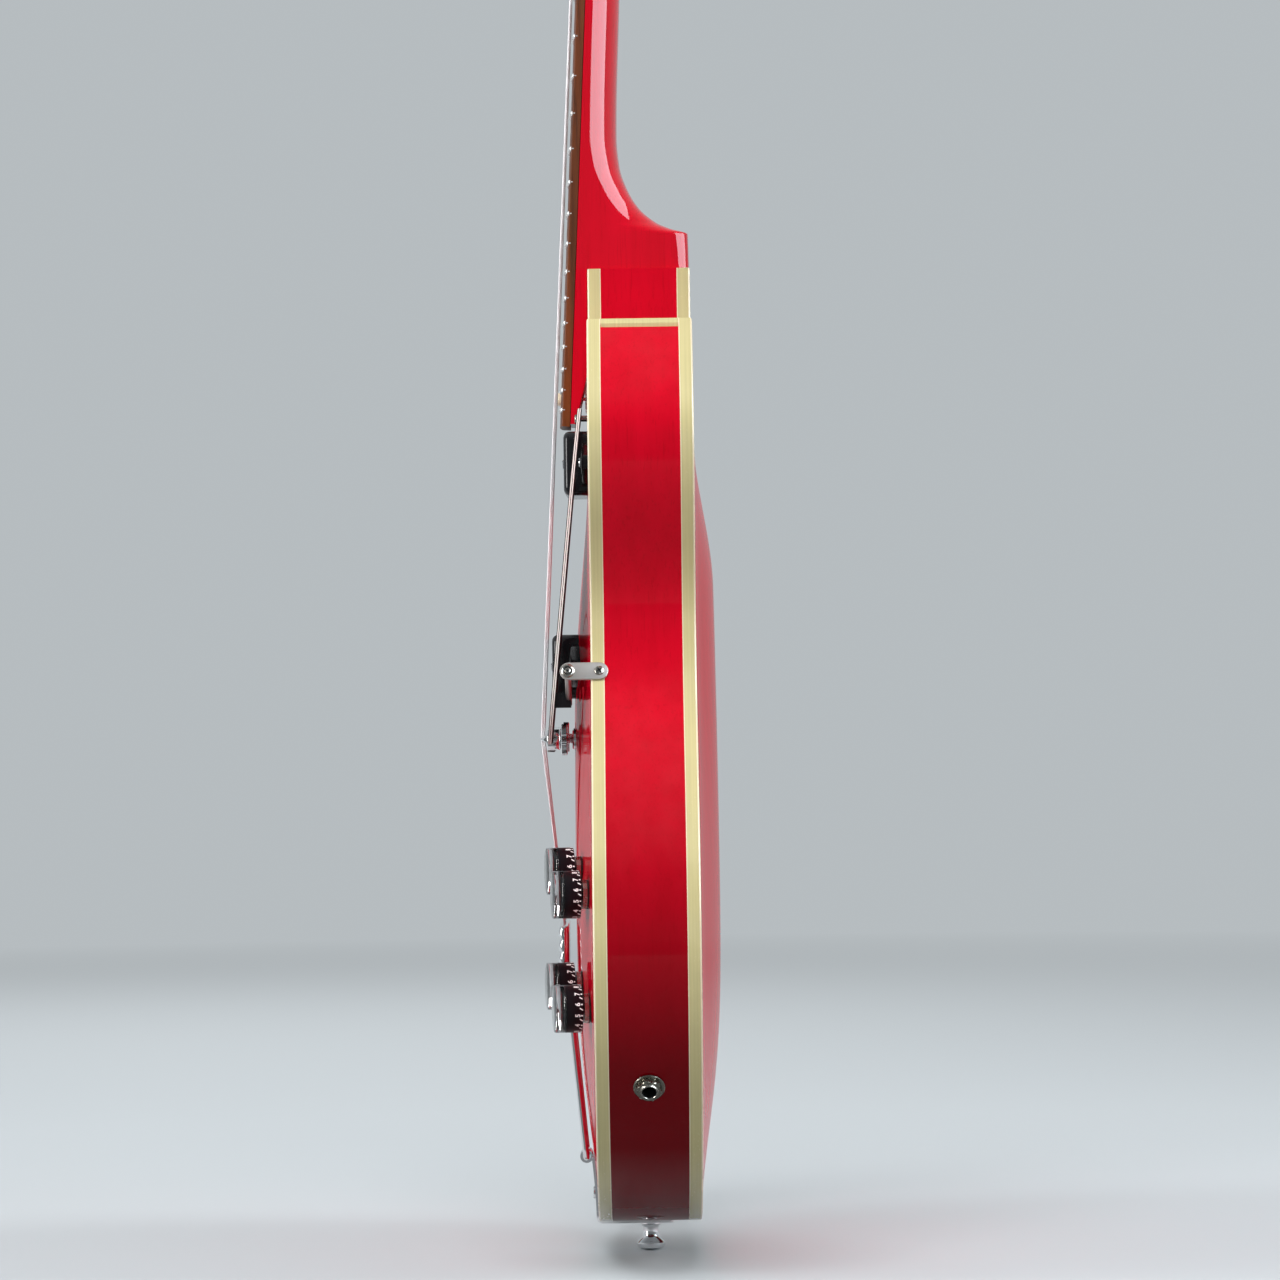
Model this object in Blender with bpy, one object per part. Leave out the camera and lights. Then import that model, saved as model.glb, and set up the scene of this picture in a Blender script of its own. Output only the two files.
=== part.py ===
"""Semi-hollow electric guitar with a pointed cutaway, built piece by piece.

Sizes are millimetres; add_object turns them into metres when it makes a mesh.
+Z runs up the neck, the strings face -Y and the treble side is +X.  The origin
is the lower end of the body, half way through its depth.
"""

import math

import bmesh
import bpy
from mathutils import Matrix, Vector

MM = 0.001
GAP = 0.3
EDGE_CLEARANCE = 0.2

# Body
BODY_LENGTH = 503.0
LOWER_HALF_WIDTH, LOWER_WIDEST = 203.0, 155.0
WAIST_HALF_WIDTH, WAIST_HEIGHT = 121.0, 318.0
UPPER_HALF_WIDTH, UPPER_BELOW_END = 147.0, 91.0
UPPER_WIDEST = BODY_LENGTH - UPPER_BELOW_END
HORN_FROM_SIDE, HORN_BELOW_END = 35.0, 31.0
HORN_X, HORN_Z = UPPER_HALF_WIDTH - HORN_FROM_SIDE, BODY_LENGTH - HORN_BELOW_END
CUTAWAY_DEPTH = 73.0
CUTAWAY_DIP = BODY_LENGTH - CUTAWAY_DEPTH
NECK_SIDE = 30.0
RIM_DEPTH = 54.0
RIM_WALL = 2.8
LINING = 9.0
PLATE = 4.0
BINDING_WIDE, BINDING_THICK = 7.0, 2.5
POINT_STRIP = 4.6
TOP_ARCH, BACK_ARCH = 9.9, 11.6
ARCH_CENTRE = 210.0
ARCH_RUN = 105.0
TOP_FADE, BACK_FADE = 164.0, 95.0
BLOCK_HALF_WIDTH = 55.0

# Neck and fingerboard
SCALE_LENGTH = 628.65
FRETS = 22
NECK_TILT = math.radians(2.75)
NUT_Y, NECK_REACH = -20.6, 377.9
NUT_Z = BODY_LENGTH + NECK_REACH
NUT_WIDTH, BOARD_END_WIDTH = 43.0, 57.0
BOARD_LENGTH, BOARD_THICK = 461.0, 5.5
CROWN_RADIUS = 305.0
FRET_HIGH, FRET_WIDE = 1.1, 2.2
NUT_THICK, NUT_PROUD = 5.0, 1.5
TENON_HALF, TENON_FRONT, TENON_BACK, TENON_LENGTH, TENON_ROOT = 18.0, -19.0, 10.0, 48.0, 8.0
ROD_RADIUS, ROD_LENGTH = 2.6, 430.0
# Back of the neck from the first fret to the heel: height over the body, depth, squareness
NECK_BACK = (
    (373.0, 0.0, 2.1), (141.7, -8.3, 2.1), (71.0, -10.6, 2.2), (55.4, -9.2, 2.5),
    (43.7, -5.4, 3.0), (33.0, 1.0, 3.5), (25.0, 10.5, 4.0), (21.3, 18.5, 4.5),
    (18.5, 26.4, 5.0), (GAP, 26.8, 5.0),
)
# Underside of the neck's tongue over the top: share of the way to its end and depth
TONGUE = ((0.0, -20.0), (0.505, -24.0), (0.652, -27.0), (1.0, -34.0))
TONGUE_SHORT = 1.07
HEAD_ROOT = (14.0, 17.0, 10.5, 19.0)


def board_end():
    """The height at which the fingerboard ends over the body."""
    return NUT_Z - BOARD_LENGTH * math.cos(NECK_TILT)


# Headstock and tuners
HEAD_TILT = math.radians(14.0)
HEAD_THICK = 14.0
HEAD_OUTLINE = ((21.5, 0.0), (24.0, 10.0), (33.0, 27.0), (38.5, 40.0), (36.0, 95.0),
                (37.5, 150.0), (29.0, 170.0), (12.0, 177.0))
TUNER_HEIGHTS = (44.0, 84.0, 124.0)
POST_X, POST_RADIUS, POST_HIGH = 26.0, 3.0, 12.0
TUNER_PLATE = (9.0, 58.0, 1.2)
HOUSING = (7.0, 8.0, 8.0)
BUTTON_START, BUTTON_END, BUTTON_RADIUS = 46.0, 62.0, 8.0

# Strings
GAUGES = (1.2, 0.95, 0.7, 0.45, 0.36, 0.3)
NUT_SPREAD, BRIDGE_SPREAD = 36.0, 52.0
STRING_Y = -54.9
STRING_AT_POST = 6.0

# Bridge
BRIDGE_FROM_NUT = 625.4
BRIDGE_Z = NUT_Z - BRIDGE_FROM_NUT
BRIDGE_HALF = (43.0, 5.5)
BRIDGE_FRONT, BRIDGE_BACK = -51.3, -44.1
CHANNEL_HALF = (33.5, 4.0)
CHANNEL_FLOOR = -47.0
SADDLE_WIDE, SADDLE_DEEP = 8.0, 3.0
STUD_X, STUD_RADIUS, STUD_END = 37.5, 2.1, -20.0
BRIDGE_TRAVEL = 2.0
WHEEL_RADIUS, WHEEL_THICK = 8.0, 3.4

# Tailpiece
HINGE_Z = 34.0
FRAME_ROD = 1.7
FRAME_BEND = (3.0, 0.4, 4.0)
FRAME_FOOT, FRAME_SHOULDER = 15.0, 31.0
CROSSBAR = (36.0, 130.0, 157.7)
CROSSBAR_Y = (-46.5, -41.0)
BRACKET_HALF, BRACKET_THICK, BRACKET_TAIL = 11.0, 1.5, 12.0
KNUCKLE_WALL, KNUCKLE_SINK = 1.5, 1.1

# Pickups
PICKUP_HALF = (43.5, 16.9)
PICKUP_WALL, PICKUP_CORNER = 2.0, 4.0
EAR_REACH, EAR_HALF, EAR_HIGH = 62.0, 12.0, 4.0
COIL_HALF = (35.0, 12.0)
COIL_DEEP = 22.0
PICKUP_BELOW_BOARD, PICKUP_ABOVE_BRIDGE = 3.131, 38.2
PICKUPS = {
    "neck": (board_end() - PICKUP_BELOW_BOARD - PICKUP_HALF[1], -40.6),
    "bridge": (BRIDGE_Z + PICKUP_ABOVE_BRIDGE, -47.9),
}

# Pickguard and its side bracket
GUARD_THICK = 2.3
GUARD_NEAR_NECK, GUARD_SLOPE = -33.0, 0.098
GUARD_FROM_BOARD, GUARD_FROM_PICKUP, GUARD_BELOW_END = 2.5, 5.0, 74.0
# The guard's treble edge, from its tip beside the board: x, and height below its tip
GUARD_CURVE = ((44.0, 0.0), (76.0, 33.0), (92.0, 84.0), (99.0, 137.0), (96.0, 163.0), (84.0, 175.0))
GUARD_NOTCH = 10.0
GUARD_PEG_IN, GUARD_PEG_RADIUS = (4.5, 5.0), 1.6
SIDE_PLATE_BELOW_TIP, SIDE_PLATE_WIDE, SIDE_PLATE_THICK = 137.5, 9.2, 1.2
SIDE_PLATE_Y = (-42.8, -18.1)
SIDE_ROD_Y, SIDE_ROD_RADIUS, SIDE_ROD_LENGTH = -38.8, 1.6, 46.0

# Controls
KNOB_RADIUS, KNOB_TOP, KNOB_BASE, KNOB_EDGE = 12.0, 18.2, 4.3, 0.7
KNOB_TILT = math.radians(6.0)
# Each control's distance in from the widest edge and its height over the widest line
KNOB_PLACES = {"volume_neck": (85.0, 34.8), "volume_bridge": (85.0, -23.9),
               "tone_neck": (43.0, 24.6), "tone_bridge": (43.0, -32.8)}
SHAFT_RADIUS, SHAFT_DEEP = 3.0, 8.0
BUSH_RADIUS, BUSH_NUT_RADIUS, BUSH_NUT = 4.6, 7.5, (1.0, 3.2)
POT_RADIUS, POT_DEEP, POT_CLEARANCE = 12.0, 11.0, 1.4
SWITCH_FROM_SIDE, SWITCH_BELOW_END = 47.0, 63.0
SWITCH_PIVOT = -3.0
SWITCH_RADIUS, SWITCH_DEEP, SWITCH_BUSH_RADIUS = 9.0, 26.0, 5.5
SWITCH_NUT_RADIUS, SWITCH_NUT_HIGH, SWITCH_MOUTH, SWITCH_SEAT = 8.0, 3.0, 4.6, 2.2
LEVER_RADIUS, LEVER_TIP_RADIUS, LEVER_TIP_START, LEVER_HIGH = 1.5, 4.1, 8.0, 20.0
JACK_Z, JACK_BORE, JACK_BARREL_RADIUS, JACK_DEEP = 84.0, 3.6, 4.7, 30.0
JACK_CONTACTS_RADIUS, JACK_COLLAR_RADIUS = 5.5, 7.0
JACK_WASHER, JACK_NUT, JACK_FACE = (8.0, 1.3), (6.6, 4.0), 5.0
STRAP_BUTTON_RADIUS, STRAP_BUTTON_HIGH, STRAP_WAIST_RADIUS, STRAP_FOOT_RADIUS = 7.5, 14.0, 4.0, 6.0
STRAP_SCREW_RADIUS, STRAP_SCREW_LONG = 2.0, 24.0

# F-holes: the middle line of the treble one, from its upper to its lower end
F_HOLE = ((67.0, 280.0), (74.0, 288.0), (81.0, 277.0), (79.0, 255.0), (80.0, 225.0),
          (83.0, 195.0), (86.0, 165.0), (84.0, 147.0), (91.0, 137.0), (98.0, 146.0))
F_HOLE_WIDTHS = (4.5, 4.0, 3.2, 4.0, 5.0, 5.0, 4.0, 3.2, 4.0, 4.5)

HALF_DEPTH = RIM_DEPTH / 2
BORE_SIDES = 16
CUT_REACH = 70.0


def finish(name, color, roughness, metallic=0.0):
    """A Principled material."""
    material = bpy.data.materials.new(name)
    material.use_nodes = True
    shader = material.node_tree.nodes["Principled BSDF"]
    shader.inputs["Base Color"].default_value = (*color, 1.0)
    shader.inputs["Roughness"].default_value = roughness
    shader.inputs["Metallic"].default_value = metallic
    return material


def make_finishes():
    """Every material of the guitar, by name."""
    return {
        "cherry": finish("cherry_lacquer", (0.55, 0.0, 0.02), 0.08),
        "binding": finish("cream_binding", (0.68, 0.60, 0.32), 0.35),
        "rosewood": finish("rosewood", (0.20, 0.06, 0.02), 0.5),
        "maple": finish("raw_maple", (0.55, 0.40, 0.22), 0.6),
        "chrome": finish("chrome", (0.85, 0.85, 0.86), 0.1, 1.0),
        "nickel": finish("nickel", (0.70, 0.68, 0.62), 0.25, 1.0),
        "steel": finish("string_steel", (0.60, 0.60, 0.60), 0.3, 1.0),
        "black": finish("black_plastic", (0.01, 0.01, 0.012), 0.3),
        "bone": finish("bone_white", (0.75, 0.70, 0.58), 0.4),
    }


def clear_scene():
    """Start from nothing."""
    for item in list(bpy.data.objects):
        bpy.data.objects.remove(item, do_unlink=True)


def add_object(name, bm, material, at=(0, 0, 0), turn=None):
    """Turn a bmesh in millimetres into an object in metres."""
    bmesh.ops.recalc_face_normals(bm, faces=bm.faces)
    bmesh.ops.triangulate(bm, faces=[face for face in bm.faces if len(face.verts) > 4])
    bmesh.ops.scale(bm, vec=(MM, MM, MM), verts=bm.verts)
    mesh = bpy.data.meshes.new(name)
    bm.to_mesh(mesh)
    bm.free()
    mesh.shade_smooth()
    mesh.set_sharp_from_angle(angle=math.radians(35))
    mesh.materials.append(material)
    item = bpy.data.objects.new(name, mesh)
    item.location = Vector(at) * MM
    if turn is not None:
        item.rotation_euler = turn.to_euler()
    bpy.context.scene.collection.objects.link(item)
    return item


def add_cutter(name, bm, material, at=(0, 0, 0), turn=None):
    """A helper solid that never shows."""
    item = add_object(name, bm, material, at, turn)
    item.hide_render = True
    item.display_type = "WIRE"
    return item


def combine(target, other, operation):
    """Add an exact boolean to the target."""
    step = target.modifiers.new(f"{operation}_{other.name}"[:60], "BOOLEAN")
    step.operation = operation
    step.solver = "EXACT"
    step.object = other


def facing(direction):
    """The rotation that turns +Z to a direction, with +X kept as level as it can be."""
    return Vector(direction).to_track_quat("Z", "Y").to_matrix()


def loft(rings, closed=False):
    """Join rings of equal length with quads, and cap both ends unless closed."""
    bm = bmesh.new()
    loops = [[bm.verts.new(point) for point in ring] for ring in rings]
    pairs = list(zip(loops, loops[1:]))
    if closed:
        pairs.append((loops[-1], loops[0]))
    for first, second in pairs:
        count = len(first)
        for i in range(count):
            j = (i + 1) % count
            bm.faces.new((first[i], first[j], second[j], second[i]))
    if not closed:
        bm.faces.new(loops[0])
        bm.faces.new(reversed(loops[-1]))
    return bm


def turned(profile, sides=BORE_SIDES):
    """Revolve (radius, height) points about Z; the profile starts and ends on the axis."""
    bm = bmesh.new()
    loops = []
    for radius, height in profile:
        if radius == 0:
            loops.append([bm.verts.new((0, 0, height))])
            continue
        loops.append([
            bm.verts.new((radius * math.cos(a), radius * math.sin(a), height))
            for a in (2 * math.pi * k / sides for k in range(sides))
        ])
    for first, second in zip(loops, loops[1:]):
        for i in range(sides):
            j = (i + 1) % sides
            if len(first) == 1:
                bm.faces.new((first[0], second[j], second[i]))
            elif len(second) == 1:
                bm.faces.new((first[i], first[j], second[0]))
            else:
                bm.faces.new((first[i], first[j], second[j], second[i]))
    return bm


def rod(radius, start, end, sides=BORE_SIDES):
    """A round bar along Z."""
    return turned(((0, start), (radius, start), (radius, end), (0, end)), sides)


def box(low, high):
    """A block between two corners."""
    bm = bmesh.new()
    size = Vector(high) - Vector(low)
    middle = (Vector(high) + Vector(low)) / 2
    matrix = Matrix.Translation(middle) @ Matrix.Diagonal((*size, 1.0))
    bmesh.ops.create_cube(bm, size=1.0, matrix=matrix)
    return bm


def prism(outline, front, back):
    """Extrude an (x, z) outline through the depth, between two y values or functions."""
    front_of = front if callable(front) else lambda x, z: front
    back_of = back if callable(back) else lambda x, z: back
    return loft([
        [Vector((x, front_of(x, z), z)) for x, z in outline],
        [Vector((x, back_of(x, z), z)) for x, z in outline],
    ])


def tube(points, radius, sides=6, closed=False):
    """A round wire through a list of points, mitred at each."""
    count = len(points)
    rings = []
    for i, point in enumerate(points):
        before = points[i - 1] if closed or i else None
        after = points[(i + 1) % count] if closed or i < count - 1 else None
        into = (point - before).normalized() if before is not None else None
        out = (after - point).normalized() if after is not None else None
        along = ((into or out) + (out or into)).normalized()
        side = along.cross(Vector((0, 1, 0))).normalized()
        lift = along.cross(side)
        stretch = 1.0
        if into is not None and out is not None:
            stretch = 1.0 / max(along.dot(out), 0.5)
        bend = (out - into) if into is not None and out is not None else side
        bend = bend - along * bend.dot(along)
        bend = bend.normalized() if bend.length > 1e-6 else side
        ring = []
        for k in range(sides):
            angle = 2 * math.pi * k / sides
            offset = side * math.cos(angle) + lift * math.sin(angle)
            offset += bend * offset.dot(bend) * (stretch - 1.0)
            ring.append(point + offset * radius)
        rings.append(ring)
    return loft(rings, closed)


def bezier(start, first, second, end, steps):
    """Points along a cubic, without its last one."""
    points = []
    for k in range(steps):
        t = k / steps
        points.append(tuple(
            (1 - t) ** 3 * a + 3 * (1 - t) ** 2 * t * b + 3 * (1 - t) * t * t * c + t ** 3 * d
            for a, b, c, d in zip(start, first, second, end)
        ))
    return points


def body_outline():
    """The body seen from the front, from its lower end up the treble side and back."""
    low, waist, upper = LOWER_HALF_WIDTH, WAIST_HALF_WIDTH, UPPER_HALF_WIDTH
    lower_sweep = (0.52 * low, 0.58 * LOWER_WIDEST)
    points = bezier((0, 0), (lower_sweep[0], 0), (low, LOWER_WIDEST - lower_sweep[1]),
                    (low, LOWER_WIDEST), 10)
    rise = WAIST_HEIGHT - LOWER_WIDEST
    points += bezier((low, LOWER_WIDEST), (low, LOWER_WIDEST + 0.48 * rise),
                     (waist, WAIST_HEIGHT - 0.38 * rise), (waist, WAIST_HEIGHT), 8)
    rise = UPPER_WIDEST - WAIST_HEIGHT
    points += bezier((waist, WAIST_HEIGHT), (waist, WAIST_HEIGHT + 0.36 * rise),
                     (upper, UPPER_WIDEST - 0.42 * rise), (upper, UPPER_WIDEST), 5)
    points += bezier((upper, UPPER_WIDEST), (upper, UPPER_WIDEST + 20),
                     (HORN_X + 16, HORN_Z - 18), (HORN_X, HORN_Z), 4)
    points += bezier((HORN_X, HORN_Z), (HORN_X - 28, CUTAWAY_DIP), (NECK_SIDE, CUTAWAY_DIP),
                     (NECK_SIDE, BODY_LENGTH), 8)
    points.append((NECK_SIDE, BODY_LENGTH))
    points += bezier((-NECK_SIDE, BODY_LENGTH), (-0.64 * upper, BODY_LENGTH),
                     (-upper, UPPER_WIDEST + 55), (-upper, UPPER_WIDEST), 7)
    points += bezier((-upper, UPPER_WIDEST), (-upper, UPPER_WIDEST - 0.42 * rise),
                     (-waist, WAIST_HEIGHT + 0.36 * rise), (-waist, WAIST_HEIGHT), 5)
    rise = WAIST_HEIGHT - LOWER_WIDEST
    points += bezier((-waist, WAIST_HEIGHT), (-waist, WAIST_HEIGHT - 0.38 * rise),
                     (-low, LOWER_WIDEST + 0.48 * rise), (-low, LOWER_WIDEST), 8)
    points += bezier((-low, LOWER_WIDEST), (-low, LOWER_WIDEST - lower_sweep[1]),
                     (-lower_sweep[0], 0), (0, 0), 10)
    return points


OUTLINE = body_outline()


def inward(index):
    """The mitre at an outline point, as the step for one millimetre of inset."""
    here = Vector(OUTLINE[index])
    before = (here - Vector(OUTLINE[index - 1])).normalized()
    after = (Vector(OUTLINE[(index + 1) % len(OUTLINE)]) - here).normalized()
    normal = Vector((-before.y - after.y, before.x + after.x)).normalized()
    return normal / max(normal.dot(Vector((-after.y, after.x))), 0.3)


def inset_outline(amount):
    """The outline drawn in by an amount, less near the point of the horn."""
    points = []
    for i, (x, z) in enumerate(OUTLINE):
        room = max(0.35 * math.hypot(x - HORN_X, z - HORN_Z), RIM_WALL)
        step = inward(i) * min(amount, room)
        points.append((x + step.x, z + step.y))
    return points


def edge_distance(x, z):
    """A smooth measure of how far inside the outline a point lies."""
    here = Vector((x, z))
    total = 0.0
    for i, point in enumerate(OUTLINE):
        first, second = Vector(OUTLINE[i - 1]) - here, Vector(point) - here
        along = (second - first).normalized()
        off = max(abs(first.x * along.y - first.y * along.x), 1e-3)
        ends = max(second.length, 1e-3), max(first.length, 1e-3)
        total += (second.dot(along) / ends[0] - first.dot(along) / ends[1]) / off ** 2
    return math.sqrt(2 / max(total, 1e-9))


def smooth(value):
    """The usual S-curve from 0 to 1."""
    value = min(max(value, 0.0), 1.0)
    return value * value * (3 - 2 * value)


def arch(x, z, fade):
    """The share of the arch's full height at a point."""
    return smooth(edge_distance(x, z) / ARCH_RUN) * smooth((CUTAWAY_DIP - z) / fade)


def top_y(x, z):
    """The front face of the top."""
    return -HALF_DEPTH - TOP_ARCH * arch(x, z, TOP_FADE)


def back_y(x, z):
    """The outer face of the back."""
    return HALF_DEPTH + BACK_ARCH * arch(x, z, BACK_FADE)


def arched_solid(inset, front, back):
    """A plate over the whole outline, between two height functions, as rings of quads."""
    edge = inset_outline(inset)
    shares = (1.0, 0.88, 0.74, 0.6, 0.45, 0.25)
    bm = bmesh.new()
    layers = []
    for height in (front, back):
        rings = []
        for share in shares:
            ring = []
            for x, z in edge:
                px, pz = x * share, ARCH_CENTRE + (z - ARCH_CENTRE) * share
                ring.append(bm.verts.new((px, height(px, pz), pz)))
            rings.append(ring)
        middle = bm.verts.new((0, height(0, ARCH_CENTRE), ARCH_CENTRE))
        layers.append((rings, middle))
    count = len(edge)
    for rings, middle in layers:
        for first, second in zip(rings, rings[1:]):
            for i in range(count):
                bm.faces.new((first[i - 1], first[i], second[i], second[i - 1]))
        for i in range(count):
            bm.faces.new((rings[-1][i - 1], rings[-1][i], middle))
    first, second = layers[0][0][0], layers[1][0][0]
    for i in range(count):
        bm.faces.new((first[i - 1], second[i - 1], second[i], first[i]))
    return bm


def rim_sweep(section):
    """Carry a section of (inset, y) points round the outline."""
    insets = {inset: inset_outline(inset) for inset, _ in section}
    rings = []
    for i in range(len(OUTLINE)):
        rings.append([Vector((insets[a][i][0], y, insets[a][i][1])) for a, y in section])
    return loft(rings, closed=True)


def crown_y(z):
    """The middle of the fingerboard's face at a height."""
    return NUT_Y - (NUT_Z - z) * math.tan(NECK_TILT)


def on_neck(x, out, along):
    """A point in the neck's own frame: across, in front of the face, from the nut down."""
    sine, cosine = math.sin(NECK_TILT), math.cos(NECK_TILT)
    return Vector((x, NUT_Y - out * cosine - along * sine, NUT_Z + out * sine - along * cosine))


def head_frame():
    """The place and rotation of the headstock's face: local x across, y up, z in front."""
    angle = NECK_TILT + HEAD_TILT
    up = Vector((0, math.sin(angle), math.cos(angle)))
    front = Vector((0, -math.cos(angle), math.sin(angle)))
    turn = Matrix((Vector((1, 0, 0)), up, front)).transposed()
    return on_neck(0, -BOARD_THICK - GAP, -NUT_THICK), turn


def on_head(x, up, out):
    """A point in the headstock's frame."""
    place, turn = head_frame()
    return place + turn @ Vector((x, up, out))


def board_half(along):
    """Half the width of the fingerboard at a distance from the nut."""
    share = along / BOARD_LENGTH
    return (NUT_WIDTH + (BOARD_END_WIDTH - NUT_WIDTH) * share) / 2


def string_x(number, spread):
    """Where a string lies across, from the lowest at the bass side."""
    return -spread / 2 + spread * number / (len(GAUGES) - 1)


def crown_drop(x):
    """How far the rounded face falls away from its middle."""
    return x * x / (2 * CROWN_RADIUS)


def saddle_y(number):
    """The middle of a string where it crosses its saddle."""
    return STRING_Y + crown_drop(string_x(number, BRIDGE_SPREAD))


def build_body(finishes):
    """Top, back, sides, bindings and the block between them."""
    cherry, cream, maple = finishes["cherry"], finishes["binding"], finishes["maple"]
    plate_inset = BINDING_THICK + GAP
    top = add_object("top_plate", arched_solid(
        plate_inset, top_y, lambda x, z: top_y(x, z) + PLATE), cherry)
    back = add_object("back_plate", arched_solid(
        plate_inset, back_y, lambda x, z: back_y(x, z) - PLATE), cherry)
    shoulder = HALF_DEPTH - BINDING_WIDE - GAP
    ledge = HALF_DEPTH - PLATE - GAP
    half = ((0, shoulder), (RIM_WALL, shoulder), (RIM_WALL, ledge), (LINING, ledge),
            (LINING, ledge - 7), (RIM_WALL, ledge - 12))
    section = [(a, -y) for a, y in half] + [(a, y) for a, y in reversed(half)]
    rim = add_object("rim", rim_sweep(section), cherry)
    for side, name in ((-1, "front_binding"), (1, "back_binding")):
        strip = [(0, side * (HALF_DEPTH - BINDING_WIDE)), (0, side * (HALF_DEPTH - 0.8)),
                 (0.8, side * HALF_DEPTH), (BINDING_THICK, side * HALF_DEPTH),
                 (BINDING_THICK, side * (HALF_DEPTH - BINDING_WIDE))]
        add_object(name, rim_sweep(strip), cream)
    low = (HORN_X - 20, -HALF_DEPTH, HORN_Z - POINT_STRIP)
    high = (HORN_X + 20, HALF_DEPTH, HORN_Z + 9)
    strip = add_object("cutaway_binding", prism(OUTLINE, -shoulder, shoulder), cream)
    combine(strip, add_cutter("point_space", box(low, high), cream), "INTERSECT")
    low = (low[0], low[1], low[2] - GAP)
    combine(rim, add_cutter("point_cut", box(low, high), cream), "DIFFERENCE")
    between = add_cutter("between_plates", arched_solid(
        plate_inset, lambda x, z: top_y(x, z) + PLATE + GAP,
        lambda x, z: back_y(x, z) - PLATE - GAP), maple)
    inside = add_cutter("inside_lining", prism(inset_outline(LINING + GAP), -CUT_REACH, CUT_REACH), maple)
    block = add_object("centre_block", box(
        (-BLOCK_HALF_WIDTH, -HALF_DEPTH - TOP_ARCH, 0),
        (BLOCK_HALF_WIDTH, HALF_DEPTH + BACK_ARCH, BODY_LENGTH)), maple)
    combine(block, between, "INTERSECT")
    combine(block, inside, "INTERSECT")
    cut_f_holes(top, cherry)

    def in_front(x, z):
        return top_y(x, z) - GAP

    def behind(x, z):
        return HALF_DEPTH

    on_plate = add_cutter("space_on_plate", arched_solid(plate_inset, in_front, behind), maple)
    on_edge = add_cutter("space_on_edge", arched_solid(-EDGE_CLEARANCE, in_front, behind), maple)
    return {"top": top, "back": back, "rim": rim, "block": block,
            "on_plate": on_plate, "on_edge": on_edge}


def cut_f_holes(top, material):
    """Cut both f-holes, each a ribbon of changing width round a middle line."""
    for side in (1, -1):
        left, right = [], []
        for i, (x, z) in enumerate(F_HOLE):
            before = Vector(F_HOLE[max(i - 1, 0)])
            after = Vector(F_HOLE[min(i + 1, len(F_HOLE) - 1)])
            along = (after - before).normalized()
            across = Vector((-along.y, along.x)) * F_HOLE_WIDTHS[i]
            left.append((side * (x + across.x), z + across.y))
            right.append((side * (x - across.x), z - across.y))
        outline = left + right[::-1]
        cutter = add_cutter(f"f_hole_{side}", prism(outline, -HALF_DEPTH - 20, 0), material)
        combine(top, cutter, "DIFFERENCE")


def neck_ring(z, front, back, half_width, square):
    """One level slice of the neck: flat in front, rounded behind."""
    ring = []
    steps = 10
    for k in range(steps + 1):
        angle = math.pi * k / steps
        across = math.copysign(abs(math.cos(angle)) ** (2 / square), math.cos(angle))
        deep = math.sin(angle) ** (2 / square) if 0 < k < steps else 0.0
        ring.append(Vector((half_width * across, front + (back - front) * deep, z)))
    return ring


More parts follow.
